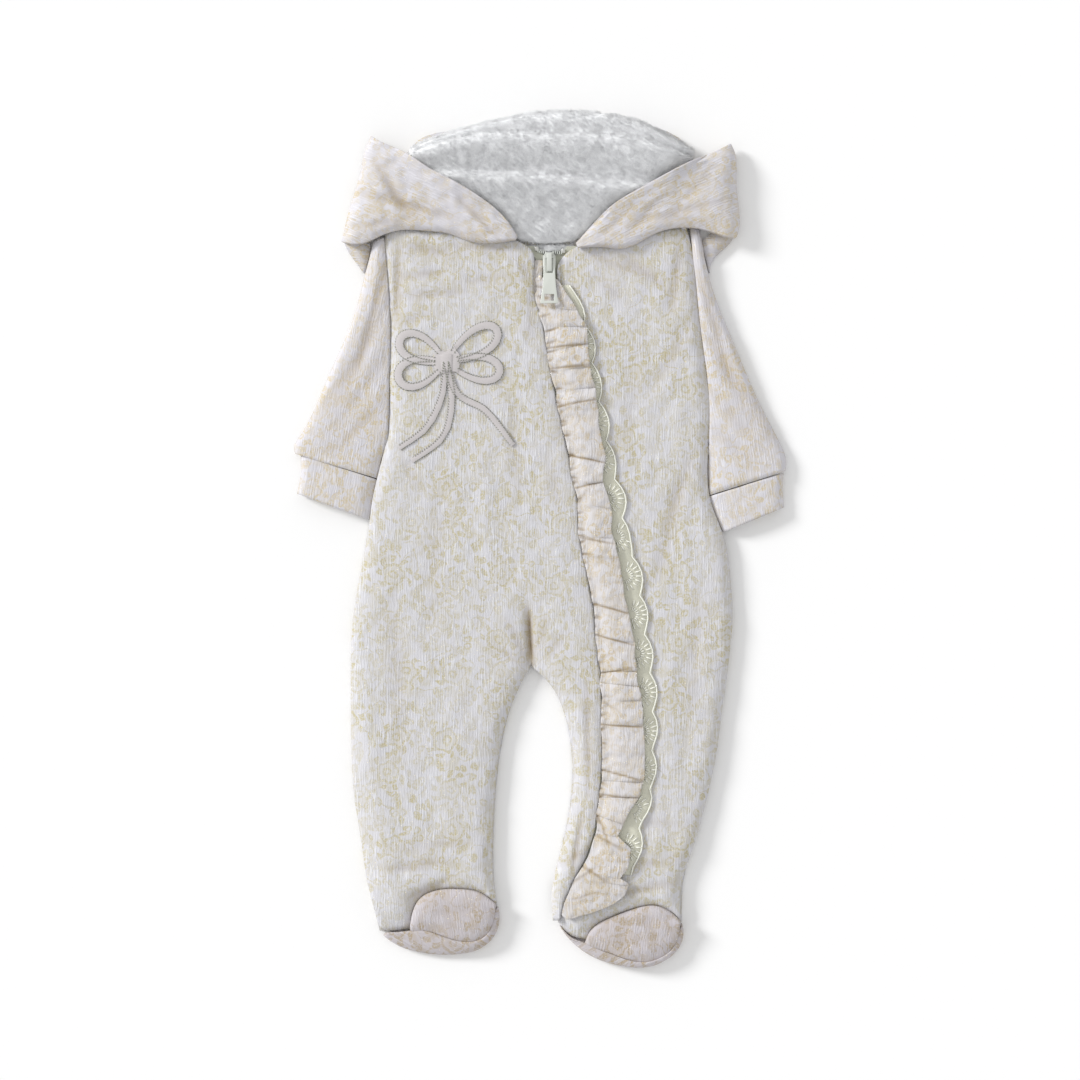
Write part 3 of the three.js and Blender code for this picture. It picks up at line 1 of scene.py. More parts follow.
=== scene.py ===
"""Looks of a hooded, footed baby sleepsuit laid flat: cloth, plush, lace, ribbon and zip.

Lengths are in metres and pieces stand in the part's own frame, so each one lies where its solid is.
Left and right are the wearer's: the wearer's right side lies at negative X.
"""

import logging
import math
from dataclasses import dataclass, field
from enum import Enum
from typing import Callable, Sequence

import bmesh
import bpy
import numpy as np
from mathutils import Matrix, Vector
from mathutils.bvhtree import BVHTree


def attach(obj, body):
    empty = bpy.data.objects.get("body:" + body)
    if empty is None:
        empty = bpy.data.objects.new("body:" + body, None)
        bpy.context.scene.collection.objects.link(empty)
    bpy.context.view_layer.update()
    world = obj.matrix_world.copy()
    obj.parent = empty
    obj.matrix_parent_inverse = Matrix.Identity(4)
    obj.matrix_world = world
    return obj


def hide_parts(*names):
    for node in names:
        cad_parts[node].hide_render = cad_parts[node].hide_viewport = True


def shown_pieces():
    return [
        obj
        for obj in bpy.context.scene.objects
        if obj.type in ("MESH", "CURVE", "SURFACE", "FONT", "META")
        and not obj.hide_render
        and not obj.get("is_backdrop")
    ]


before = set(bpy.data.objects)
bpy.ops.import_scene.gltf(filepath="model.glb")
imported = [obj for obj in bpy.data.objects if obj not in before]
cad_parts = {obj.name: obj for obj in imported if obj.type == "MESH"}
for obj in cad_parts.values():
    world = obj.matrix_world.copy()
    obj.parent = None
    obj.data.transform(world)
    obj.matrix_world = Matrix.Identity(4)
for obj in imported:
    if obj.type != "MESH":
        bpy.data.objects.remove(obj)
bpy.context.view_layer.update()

LOG = logging.getLogger("sleepsuit")
MM = 0.001
GARMENT = "garment"
PULL_TAB = "pull_tab"
SEED = 7

Point = tuple[float, float]
Colour = tuple[float, float, float]
Crease = tuple[float, float, float, float, float, float]


def srgb(red: float, green: float, blue: float) -> Colour:
    """A colour given in 0 to 255 screen values, as linear light."""
    return tuple(
        (v / 255 / 12.92) if v / 255 <= 0.04045 else ((v / 255 + 0.055) / 1.055) ** 2.4
        for v in (red, green, blue)
    )


class Held(Enum):
    """How a cut sheet is held in the garment."""

    LAID = "laid"
    GATHERED = "gathered"
    FOLDED = "folded"


class Shader:
    """A short way to write a material's node tree."""

    def __init__(self, name: str) -> None:
        """Starts a material with one Principled shader.

        Args:
            name: the material's name.
        """
        self.material = bpy.data.materials.new(name)
        self.material.use_nodes = True
        self.tree = self.material.node_tree
        self.surface = self.tree.nodes["Principled BSDF"]

    def node(self, kind: str, **settings: object) -> bpy.types.Node:
        """Adds a node.

        Args:
            kind: the node's type, without its ShaderNode prefix.
            settings: the node's own properties.

        Returns:
            The new node.
        """
        made = self.tree.nodes.new("ShaderNode" + kind)
        for key, value in settings.items():
            setattr(made, key, value)
        return made

    def link(self, source: object, target: bpy.types.NodeSocket) -> None:
        """Joins a socket, or writes a plain value into it."""
        if isinstance(source, bpy.types.NodeSocket):
            self.tree.links.new(source, target)
        else:
            target.default_value = source

    def maths(self, operation: str, *values: object) -> bpy.types.NodeSocket:
        """A maths node over sockets or numbers, as its result socket."""
        made = self.node("Math", operation=operation)
        for socket, value in zip(made.inputs, values):
            self.link(value, socket)
        return made.outputs[0]

    def vector(self, operation: str, *values: object) -> bpy.types.Node:
        """A vector maths node over sockets or vectors."""
        made = self.node("VectorMath", operation=operation)
        for socket, value in zip(made.inputs, values):
            self.link(value, socket)
        return made

    def step(self, value: object, low: float, high: float, reach: float = 1.0) -> bpy.types.NodeSocket:
        """A smooth step from 0 at low to reach at high."""
        made = self.node("MapRange", interpolation_type="SMOOTHSTEP")
        for key, number in (("From Min", low), ("From Max", high), ("To Max", reach)):
            made.inputs[key].default_value = number
        self.link(value, made.inputs["Value"])
        return made.outputs["Result"]

    def noise(self, place: object, scale: float, detail: float = 2.0) -> bpy.types.NodeSocket:
        """Two-dimensional noise at a place, as its value socket."""
        made = self.node("TexNoise", noise_dimensions="2D")
        made.inputs["Scale"].default_value = scale
        made.inputs["Detail"].default_value = detail
        self.link(place, made.inputs["Vector"])
        return made.outputs["Fac"]

    def cells(self, place: object, scale: float, randomness: float) -> bpy.types.Node:
        """A two-dimensional Voronoi node at a place."""
        made = self.node("TexVoronoi", voronoi_dimensions="2D")
        made.inputs["Scale"].default_value = scale
        made.inputs["Randomness"].default_value = randomness
        self.link(place, made.inputs["Vector"])
        return made

    def blend(self, share: object, first: object, second: object) -> bpy.types.NodeSocket:
        """A mix of two colours, as its colour socket."""
        made = self.node("Mix", data_type="RGBA")
        self.link(share, made.inputs["Factor"])
        for socket, value in ((made.inputs[6], first), (made.inputs[7], second)):
            self.link((*value, 1.0) if isinstance(value, tuple) else value, socket)
        return made.outputs[2]

    def squeezed(self, place: object, across: float, along: float) -> bpy.types.NodeSocket:
        """A place stretched by a factor on each axis."""
        return self.vector("MULTIPLY", place, (across, along, 1.0)).outputs[0]

    def bump(self, height: object, distance: float, strength: float = 1.0) -> None:
        """Bumps the surface's normal by a height socket.

        Args:
            height: the height, from 0 to 1.
            distance: the height that 1 stands for, in metres.
            strength: how much of the bump shows.
        """
        made = self.node("Bump")
        made.inputs["Distance"].default_value = distance
        made.inputs["Strength"].default_value = strength
        self.link(height, made.inputs["Height"])
        self.link(made.outputs[0], self.surface.inputs["Normal"])

    def cloth_place(self) -> bpy.types.NodeSocket:
        """Where a point lies on its cut piece of cloth, in millimetres."""
        laid = self.node("UVMap", uv_map="Cloth")
        scaled = self.vector("SCALE", laid.outputs[0])
        scaled.inputs["Scale"].default_value = 1 / MM
        return scaled.outputs[0]


@dataclass(frozen=True)
class Jacquard:
    """Crinkled cloth with raised white cords and a woven floral pattern in a pale thread."""

    name: str
    ground: Colour
    thread: Colour
    cord: Colour
    # the brown of the painted shade in folds and seam grooves
    fold_shade: Colour
    roughness: float = 0.85
    flower_spacing: float = 36.0
    flower_reach: float = 13.5
    ring_spacing: float = 9.0
    leaf_spacing: float = 7.0
    cord_pitch: float = 1.9
    relief: float = 0.35 * MM

    def around(self, shader: Shader, place: object, cells: bpy.types.Node) -> tuple[object, object]:
        """Distance from, and direction round, the middle of the cell that a place is in.

        Args:
            shader: the material that is built.
            place: the place's socket.
            cells: the Voronoi node.

        Returns:
            The sockets of the distance, in millimetres, and of the angle.
        """
        offset = shader.vector("SUBTRACT", place, cells.outputs["Position"])
        parts = shader.node("SeparateXYZ")
        shader.link(offset.outputs[0], parts.inputs[0])
        angle = shader.maths("ARCTAN2", parts.outputs[1], parts.outputs[0])
        return shader.vector("LENGTH", offset.outputs[0]).outputs["Value"], angle

    def line(self, shader: Shader, value: object, at: object, half: float) -> bpy.types.NodeSocket:
        """A soft line where a value meets another, to a half-width."""
        apart = shader.maths("ABSOLUTE", shader.maths("SUBTRACT", value, at))
        return shader.step(apart, half + 0.45, half - 0.35)

    def flowers(self, shader: Shader, reach: object, angle: object) -> bpy.types.NodeSocket:
        """Flower heads: an outlined heart, a scalloped ring of petals and a wreath of leaves."""
        heart = self.line(shader, reach, 2.6, 0.9)
        scallops = shader.maths("ABSOLUTE", shader.maths("COSINE", shader.maths("MULTIPLY", angle, 2.5)))
        petals = self.line(shader, reach, shader.maths("MULTIPLY_ADD", scallops, 1.7, 6.2), 1.0)
        turned = shader.maths("MULTIPLY_ADD", reach, 0.35, shader.maths("MULTIPLY", angle, 9.0))
        broken = shader.step(shader.maths("COSINE", turned), -0.3, 0.3)
        wreath = shader.maths("MULTIPLY", self.line(shader, reach, 11.2, 2.0), broken)
        fill = shader.step(reach, 7.0, 6.0, 0.35)
        return shader.maths("MAXIMUM", shader.maths("MAXIMUM", shader.maths("MAXIMUM", heart, petals), wreath), fill)

    def ringlets(self, shader: Shader, place: object) -> bpy.types.NodeSocket:
        """Small open rings scattered between the flowers."""
        cells = shader.cells(place, 1 / self.ring_spacing, 0.9)
        reach, _ = self.around(shader, place, cells)
        parts = shader.node("SeparateColor")
        shader.link(cells.outputs["Color"], parts.inputs[0])
        chosen = shader.step(parts.outputs[0], 0.34, 0.38)
        return shader.maths("MULTIPLY", self.line(shader, reach, 2.1, 0.65), chosen)

    def leaves(self, shader: Shader, place: object) -> bpy.types.NodeSocket:
        """Small leaves and curling stems."""
        cells = shader.cells(shader.squeezed(place, 1.0, 0.62), 1 / self.leaf_spacing, 1.0)
        parts = shader.node("SeparateColor")
        shader.link(cells.outputs["Color"], parts.inputs[0])
        chosen = shader.step(parts.outputs[1], 0.28, 0.32)
        blades = shader.maths("MULTIPLY", shader.step(cells.outputs["Distance"], 0.34, 0.22), chosen)
        stems = shader.maths("ABSOLUTE", shader.maths("SUBTRACT", shader.noise(place, 1 / 17, 1.0), 0.5))
        return shader.maths("MAXIMUM", blades, shader.step(stems, 0.026, 0.012, 0.8))

    def motif(self, shader: Shader, place: object) -> bpy.types.NodeSocket:
        """The whole woven pattern at a place, from 0 to 1."""
        wander = shader.node("TexNoise", noise_dimensions="2D")
        wander.inputs["Scale"].default_value = 1 / 12
        shader.link(place, wander.inputs["Vector"])
        shift = shader.vector("SUBTRACT", wander.outputs["Color"], (0.5, 0.5, 0.5))
        wide = shader.vector("SCALE", shift.outputs[0])
        wide.inputs["Scale"].default_value = 6.5
        drawn = shader.vector("ADD", place, wide.outputs[0]).outputs[0]
        cells = shader.cells(drawn, 1 / self.flower_spacing, 0.5)
        reach, angle = self.around(shader, drawn, cells)
        outside = shader.step(reach, self.flower_reach, self.flower_reach + 1)
        scattered = shader.maths("MAXIMUM", self.ringlets(shader, drawn), self.leaves(shader, drawn))
        scattered = shader.maths("MULTIPLY", scattered, outside)
        drawing = shader.maths("MAXIMUM", self.flowers(shader, reach, angle), scattered)
        worn = shader.step(shader.noise(place, 1 / 1.2, 2.0), 0.34, 0.62)
        patchy = shader.step(shader.noise(place, 1 / 38, 2.0), 0.3, 0.66)
        drawing = shader.maths("MULTIPLY", drawing, shader.maths("MULTIPLY_ADD", worn, 0.6, 0.4))
        haze = shader.maths("MULTIPLY", shader.step(shader.noise(place, 1 / 8, 3.0), 0.45, 0.68), 0.4)
        strength = shader.maths("MULTIPLY_ADD", patchy, 0.5, 0.5)
        return shader.maths("MULTIPLY", shader.maths("MAXIMUM", drawing, haze), strength)

    def build(self) -> bpy.types.Material:
        """Makes the material.

        Returns:
            The dressed material.
        """
        shader = Shader(self.name)
        place = shader.cloth_place()
        motif = self.motif(shader, place)
        streak_field = shader.noise(shader.squeezed(place, 1.0, 0.075), 1 / 1.0, 2.0)
        zone = shader.step(shader.noise(place, 1 / 24, 2.0), 0.3, 0.64)
        zone = shader.maths("MULTIPLY_ADD", zone, 0.7, 0.3)
        streaks = shader.maths("MULTIPLY", shader.step(streak_field, 0.5, 0.66), zone)

        parts = shader.node("SeparateXYZ")
        shader.link(place, parts.inputs[0])
        sway = shader.maths("MULTIPLY", shader.noise(shader.squeezed(place, 1.0, 0.4), 1 / 6, 2.0), 13.0)
        turns = shader.maths("MULTIPLY_ADD", parts.outputs[0], 2 * math.pi / self.cord_pitch, sway)
        cords = shader.maths("MULTIPLY_ADD", shader.maths("COSINE", turns), 0.5, 0.5)

        colour = shader.blend(shader.maths("MULTIPLY", motif, 0.95), self.ground, self.thread)
        # painted shade: the valleys between the raised cords are darkened towards a darker ground
        valley_shade = shader.maths("MULTIPLY", shader.maths("SUBTRACT", 1.0, cords), 0.1)
        colour = shader.blend(valley_shade, colour, tuple(v * 0.7 for v in self.ground))
        colour = shader.blend(shader.maths("MULTIPLY", streaks, 0.7), colour, self.cord)
        specks = shader.cells(place, 1 / 0.9, 1.0)
        lit = shader.node("SeparateColor")
        shader.link(specks.outputs["Color"], lit.inputs[0])
        spot = shader.step(specks.outputs["Distance"], 0.36, 0.2)
        glint = shader.maths("MULTIPLY", shader.step(lit.outputs[1], 0.982, 0.986), spot)
        colour = shader.blend(shader.maths("MULTIPLY", glint, 0.8), colour, srgb(255, 244, 208))
        # painted shade: creases and the side walls where pieces meet are tinted towards the brown fold shade colour
        fold_shade = shader.node("Attribute", attribute_name="FoldShade")
        colour = shader.blend(fold_shade.outputs["Fac"], colour, self.fold_shade)
        shader.link(colour, shader.surface.inputs["Base Color"])
        shader.surface.inputs["Roughness"].default_value = self.roughness
        shader.surface.inputs["Sheen Weight"].default_value = 0.15
        shader.surface.inputs["Sheen Roughness"].default_value = 0.5

        knit = shader.noise(shader.squeezed(place, 1.0, 0.6), 1 / 0.6, 2.0)
        height = shader.maths("MULTIPLY_ADD", cords, 0.22, shader.maths("MULTIPLY", streaks, 0.5))
        height = shader.maths("MULTIPLY_ADD", knit, 0.5, height)
        height = shader.maths("MULTIPLY_ADD", motif, -0.25, height)
        shader.bump(height, self.relief, 0.9)
        return shader.material


@dataclass(frozen=True)
class Plush:
    """Short soft pile in two close tones, the darker and warmer one mixed in by fine noise."""

    name: str
    tip: Colour
    root: Colour

    def build(self) -> bpy.types.Material:
        """Makes the material.

        Returns:
            The dressed material.
        """
        shader = Shader(self.name)
        place = shader.cloth_place()
        hairs = shader.step(shader.noise(place, 1 / 0.8, 3.0), 0.3, 0.7)
        shader.link(shader.blend(hairs, self.root, self.tip), shader.surface.inputs["Base Color"])
        shader.surface.inputs["Roughness"].default_value = 1.0
        shader.surface.inputs["Sheen Weight"].default_value = 0.35
        shader.surface.inputs["Sheen Roughness"].default_value = 0.7
        shader.surface.inputs["Specular IOR Level"].default_value = 0.1
        shader.bump(shader.noise(place, 1 / 0.8, 3.0), 0.3 * MM, 0.5)
        return shader.material


@dataclass(frozen=True)
class Organza:
    """Thin, slightly see-through net with a fine square weave."""

    name: str
    colour: Colour
    alpha: float

    def build(self) -> bpy.types.Material:
        """Makes the material.

        Returns:
            The dressed material.
        """
        shader = Shader(self.name)
        place = shader.cloth_place()
        weave = shader.noise(place, 1 / 0.6, 1.0)
        tone = shader.blend(weave, tuple(v * 0.86 for v in self.colour), self.colour)
        shader.link(tone, shader.surface.inputs["Base Color"])
        shader.surface.inputs["Roughness"].default_value = 0.5
        shader.surface.inputs["Sheen Weight"].default_value = 0.4
        shader.surface.inputs["Alpha"].default_value = self.alpha
        shader.bump(weave, 0.15 * MM, 0.6)
        return shader.material


@dataclass(frozen=True)
class Thread:
    """Twisted thread, ribbon or tape: one colour with a fine slanted twist, and painted shade in its grooves."""

    name: str
    colour: Colour
    # the painted shade colour in the twist's grooves
    groove_shade: Colour
    roughness: float
    pitch: float = 0.6
    metallic: float = 0.0
    sheen: float = 0.2

    def build(self) -> bpy.types.Material:
        """Makes the material.

        Returns:
            The dressed material.
        """
        shader = Shader(self.name)
        coordinates = shader.node("TexCoord")
        scaled = shader.vector("SCALE", coordinates.outputs["Object"])
        scaled.inputs["Scale"].default_value = 1 / MM
        twist = shader.node("TexWave", bands_direction="DIAGONAL")
        twist.inputs["Scale"].default_value = 1 / (math.pi * self.pitch)
        twist.inputs["Distortion"].default_value = 1.5
        shader.link(scaled.outputs[0], twist.inputs["Vector"])
        # painted shade: the twist's grooves are darkened
        shader.link(shader.blend(twist.outputs["Fac"], self.groove_shade, self.colour), shader.surface.inputs["Base Color"])
        shader.surface.inputs["Roughness"].default_value = self.roughness
        shader.surface.inputs["Metallic"].default_value = self.metallic
        shader.surface.inputs["Sheen Weight"].default_value = self.sheen
        shader.bump(twist.outputs["Fac"], 0.12 * MM, 0.7)
        return shader.material


@dataclass(frozen=True)
class Enamel:
    """Painted zip metal: satin enamel with faint orange peel and rubbed edges."""

    name: str
    colour: Colour
    worn: Colour
    roughness: float
    metallic: float

    def build(self) -> bpy.types.Material:
        """Makes the material.

        Returns:
            The dressed material.
        """
        shader = Shader(self.name)
        coordinates = shader.node("TexCoord")
        peel = shader.node("TexNoise")
        peel.inputs["Scale"].default_value = 1400.0
        shader.link(coordinates.outputs["Object"], peel.inputs["Vector"])
        rub = shader.node("NewGeometry")
        edge = shader.step(rub.outputs["Pointiness"], 0.53, 0.62, 0.45)
        shader.link(shader.blend(edge, self.colour, self.worn), shader.surface.inputs["Base Color"])
        shader.surface.inputs["Roughness"].default_value = self.roughness
        shader.surface.inputs["Metallic"].default_value = self.metallic
        shader.surface.inputs["Coat Weight"].default_value = 0.4
        shader.surface.inputs["Coat Roughness"].default_value = 0.2
        shader.bump(peel.outputs["Fac"], 0.03 * MM, 0.5)
        return shader.material


# The brown of painted shade in creases and in the grooves where pieces meet.
FOLD_SHADE_BROWN = srgb(150, 132, 104)
BODY_CLOTH = Jacquard("Body cloth", srgb(208, 207, 211), srgb(188, 178, 138), srgb(222, 223, 228), FOLD_SHADE_BROWN)
WARM_CLOTH = Jacquard("Warm cloth", srgb(210, 208, 213), srgb(203, 188, 154), srgb(225, 224, 230), FOLD_SHADE_BROWN)
FRILL_CLOTH = Jacquard("Frill cloth", srgb(203, 200, 201), srgb(190, 173, 138), srgb(215, 213, 216), FOLD_SHADE_BROWN)
FOOT_CLOTH = Jacquard("Foot cloth", srgb(196, 190, 193), srgb(172, 154, 122), srgb(207, 204, 209), FOLD_SHADE_BROWN)
PLUSH_LINING = Plush("Plush lining", srgb(251, 252, 253), srgb(240, 241, 243))
LACE_GROUND = Organza("Lace ground", srgb(234, 233, 215), 0.84)
LACE_THREAD = Thread("Lace thread", srgb(250, 250, 243), srgb(238, 238, 226), 0.6, 0.5)
RIBBON = Thread("Ribbon", srgb(206, 201, 201), srgb(195, 190, 190), 0.5, 0.5)
SILVER_STITCH = Thread("Silver stitch", srgb(178, 178, 168), srgb(150, 151, 140), 0.4, 0.4, 0.3)
ZIP_TAPE = Thread("Zip tape", srgb(208, 209, 194), srgb(194, 196, 180), 0.8, 0.7)
ZIP_ENAMEL = Enamel("Zip enamel", srgb(207, 210, 203), srgb(226, 228, 222), 0.32, 0.1)
STOP_METAL = Enamel("Stop metal", srgb(196, 196, 190), srgb(230, 230, 226), 0.28, 0.9)


@dataclass(frozen=True)
class Grain:
    """Which way a cut piece's cords run, and where its pattern starts."""

    degrees: float = 0.0
    start: Point = (0.0, 0.0)

    def lay(self, points: np.ndarray) -> np.ndarray:
        """Plan points as places on the cut cloth.

        Args:
            points: an array of plan points in metres.

        Returns:
            Their places, in metres, with the cords along the second axis.
        """
        turn = math.radians(self.degrees)
        cos, sin = math.cos(turn), math.sin(turn)
        across = points[:, 0] * cos + points[:, 1] * sin
        along = points[:, 1] * cos - points[:, 0] * sin
        return np.stack([across + self.start[0] * MM, along + self.start[1] * MM], axis=1)


def fused_copy(node: str, name: str) -> bpy.types.Object:
    """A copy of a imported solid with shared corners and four-sided faces where it has them.

    Args:
        node: the solid's node.
        name: the new object's name.

    Returns:
        The new object, linked to the scene.
    """
    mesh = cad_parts[node].data.copy()
    made = bmesh.new()
    made.from_mesh(mesh)
    bmesh.ops.remove_doubles(made, verts=made.verts, dist=2e-6)
    bmesh.ops.join_triangles(
        made,
        faces=made.faces,
        angle_face_threshold=math.radians(40),
        angle_shape_threshold=math.radians(60),
    )
    made.to_mesh(mesh)
    made.free()
    mesh.materials.clear()
    mesh.name = name
    piece = bpy.data.objects.new(name, mesh)
    bpy.context.collection.objects.link(piece)
    return piece


def vertices_of(mesh: bpy.types.Mesh) -> np.ndarray:
    """A mesh's vertices as an array of points."""
    flat = np.empty(len(mesh.vertices) * 3)
    mesh.vertices.foreach_get("co", flat)
    return flat.reshape(-1, 3)


def normals_of(mesh: bpy.types.Mesh) -> np.ndarray:
    """A mesh's vertex normals as an array."""
    flat = np.empty(len(mesh.vertices) * 3)
    mesh.vertex_normals.foreach_get("vector", flat)
    return flat.reshape(-1, 3)


def subdivided(piece: bpy.types.Object, levels: int, sharpness: float = 1.0, crease_angle: float = 48) -> None:
    """Smooths a piece by subdivision, holding its sharp rims.

    Args:
        piece: the object, whose mesh is replaced.
        levels: how many times each face is split.
        sharpness: how firmly they are held.
        crease_angle: edges that bend more than this many degrees are held.
    """
    made = bmesh.new()
    made.from_mesh(piece.data)
    layer = made.edges.layers.float.new("crease_edge")
    limit = math.radians(crease_angle)
    for edge in made.edges:
        if edge.is_manifold and edge.calc_face_angle(0) > limit:
            edge[layer] = sharpness
    made.to_mesh(piece.data)
    made.free()
    modifier = piece.modifiers.new("Smooth", "SUBSURF")
    modifier.levels = modifier.render_levels = levels
    settle(piece)


def settle(piece: bpy.types.Object) -> None:
    """Applies a piece's modifiers to its mesh."""
    graph = bpy.context.evaluated_depsgraph_get()
    mesh = bpy.data.meshes.new_from_object(piece.evaluated_get(graph))
    piece.modifiers.clear()
    old = piece.data
    piece.data = mesh
    mesh.name = piece.name
    bpy.data.meshes.remove(old)


def lay_cloth(mesh: bpy.types.Mesh, places: np.ndarray) -> None:
    """Gives each corner of a mesh its place on the cut cloth.

    Args:
        mesh: the mesh to dress.
        places: a place in metres for each vertex.
    """
    layer = mesh.uv_layers.new(name="Cloth")
    corners = np.empty(len(mesh.loops), dtype=int)
    mesh.loops.foreach_get("vertex_index", corners)
    layer.data.foreach_set("uv", places[corners].astype(np.float32).ravel())


def waves(points: np.ndarray, scale: float, seed: int, count: int = 9) -> np.ndarray:
    """Soft uneven relief from a few crossing waves, about -1 to 1.

    Args:
        points: plan points in metres.
        scale: the usual distance between crests, in metres.
        seed: picks the waves.
        count: how many waves are added up.

    Returns:
        A height for each point.
    """
    chance = np.random.default_rng(seed)
    total = np.zeros(len(points))
    for _ in range(count):
        angle, phase = chance.uniform(0, 2 * math.pi, 2)
        number = 2 * math.pi / (scale * chance.uniform(0.6, 1.7))
        along = points[:, 0] * math.cos(angle) + points[:, 1] * math.sin(angle)
        total += np.sin(number * along + phase)
    return total / math.sqrt(count) / 1.4


def creased(points: np.ndarray, creases: Sequence[Crease]) -> tuple[np.ndarray, np.ndarray]:
    """How far the listed creases sink the cloth, or raise it where their depth is negative.

    Args:
        points: plan points in metres.
        creases: each crease's two ends, depth and width, in millimetres.

    Returns:
        A depth in metres for each point, and how much each point is shaded, from 0 to 1.
    """
    sunk, shade = np.zeros(len(points)), np.zeros(len(points))
    for x1, y1, x2, y2, depth, width in creases:
        start = np.array([x1, y1]) * MM
        way = np.array([x2 - x1, y2 - y1]) * MM
        share = np.clip((points - start) @ way / (way @ way), 0, 1)
        away = np.linalg.norm(points - start - share[:, None] * way, axis=1)
        fade = np.clip(np.sin(math.pi * (0.12 + 0.76 * share)), 0, 1)
        trough = fade * np.exp(-((away / (width * MM)) ** 2))
        sunk += depth * MM * trough
        shade += min(max(depth / width, 0), 1) * trough
    return sunk, np.clip(shade, 0, 1)


@dataclass
class Panel:
    """A cut piece of cloth: a thin shell on its solid's form, creased as listed."""

    node: str
    flat: Point
    area: float
    grain: Grain = field(default_factory=Grain)
    held: Held = Held.LAID
    rests_on: tuple[str, ...] = ()
    slot: str = "jacquard_cloth"
    levels: int = 2
    crumple: float = 0.35
    crumple_scale: float = 16.0
    creases: tuple[Crease, ...] = ()
    seam_reach: float = 0.32
    rim: float = 1.0
    rim_shade: float = 0.28
    sway: float = 0.0
    settle_below: float = -1000.0
    settle_rounds: int = 3
    piece: bpy.types.Object | None = None

    def settle(self, piece: bpy.types.Object) -> None:
        """Evens out the steps on the stretch below a level, before the cloth is made finer.

        Args:
            piece: the fused copy of the solid.
        """
        made = bmesh.new()
        made.from_mesh(piece.data)
        low = [vert for vert in made.verts if vert.co.y < self.settle_below * MM]
        for _ in range(self.settle_rounds if low else 0):
            bmesh.ops.smooth_vert(made, verts=low, factor=0.5, use_axis_z=True)
        made.to_mesh(piece.data)
        made.free()

    def places(self, points: np.ndarray) -> np.ndarray:
        """Where each point lies on the cut cloth, in metres."""
        return self.grain.lay(points[:, :2])

    def relief(self, points: np.ndarray, facing: np.ndarray) -> tuple[np.ndarray, np.ndarray]:
        """How far each point stands off its solid on the stretches that face up.

        Args:
            points: the mesh's points.
            facing: how far each one faces up.

        Returns:
            A height in metres and a shade from 0 to 1 for each point.
        """
        soft = self.crumple * MM * waves(points[:, :2], self.crumple_scale * MM, SEED + len(self.node))
        fine = 0.4 * self.crumple * MM * waves(points[:, :2], 0.45 * self.crumple_scale * MM, SEED + 31)
        shown = np.clip(facing * 1.6 - 0.2, 0, 1)
        sunk, shade = creased(points[:, :2], self.creases)
        # painted shade: crease troughs, and the side walls where pieces meet, get a share of the brown fold shade
        # colour
        shade = np.maximum(shown * shade, self.rim_shade * np.clip(1 - 1.6 * np.abs(facing), 0, 1))
        return shown * (soft + fine - sunk), shade

    def build(self) -> bpy.types.Object:
        """Makes the piece's mesh.

        Returns:
            The new object.
        """
        piece = fused_copy(self.node, self.node + "_cloth")
        self.settle(piece)
        subdivided(piece, self.levels, self.rim)
        mesh = piece.data
        points, normals = vertices_of(mesh), normals_of(mesh)
        lay_cloth(mesh, self.places(points))
        lean = np.linalg.norm(normals[:, :2], axis=1, keepdims=True)
        sides = normals[:, :2] / np.maximum(lean, 1e-6) * np.clip(1.7 * lean - 0.4, 0, 1)
        relief, shade = self.relief(points, normals[:, 2])
        points[:, :2] += self.seam_reach * MM * sides
        if self.sway:
            down = points[:, :2] * np.array([0.15, 1.0])
            points[:, 0] += self.sway * MM * waves(down, 20 * MM, SEED + 9)
        points[:, 2] += relief
        mesh.vertices.foreach_set("co", points.ravel())
        # the painted shade goes to the material as a point attribute
        mesh.attributes.new("FoldShade", "FLOAT", "POINT").data.foreach_set("value", shade.astype(np.float32))
        mesh.shade_smooth()
        self.piece = piece
        return piece

    def dress(self, material: bpy.types.Material) -> bpy.types.Object:
        """Gives the piece its material, sets it on the garment's body and hides its solid.

        Args:
            material: the cloth's material.

        Returns:
            The dressed object.
        """
        self.piece.data.materials.append(material)
        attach(self.piece, GARMENT)
        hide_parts(self.node)
        return self.piece


@dataclass
class TubePanel(Panel):
    """A sleeve or cuff: its cords run along the arm, and the pattern wraps round it."""

    arm: tuple[float, float, float, float] = (0.0, 0.0, 0.0, 0.0)
    tuck: float = 0.0
    tuck_from: float = 197.0
    tuck_run: float = 13.0

    def build(self) -> bpy.types.Object:
        """Makes the tube, with its shoulder end drawn on under the hood.

        Returns:
            The new object.
        """
        piece = super().build()
        points = vertices_of(piece.data)
        share = np.clip((points[:, 1] / MM - self.tuck_from) / self.tuck_run, 0, 1)
        points[:, 1] += self.tuck * MM * share
        points[:, 2] *= 1 - 0.3 * share * (self.tuck > 0)
        piece.data.vertices.foreach_set("co", points.ravel())
        return piece

    def places(self, points: np.ndarray) -> np.ndarray:
        """Where each point lies on the cut cloth, in metres, measured along and across the arm."""
        x1, y1, x2, y2 = (v * MM for v in self.arm)
        way = np.array([x2 - x1, y2 - y1])
        way /= np.linalg.norm(way)
        rel = points[:, :2] - np.array([x1, y1])
        along = rel @ way
        across = rel @ np.array([-way[1], way[0]])
        return np.stack([across + self.grain.start[0] * MM, along + self.grain.start[1] * MM], axis=1)


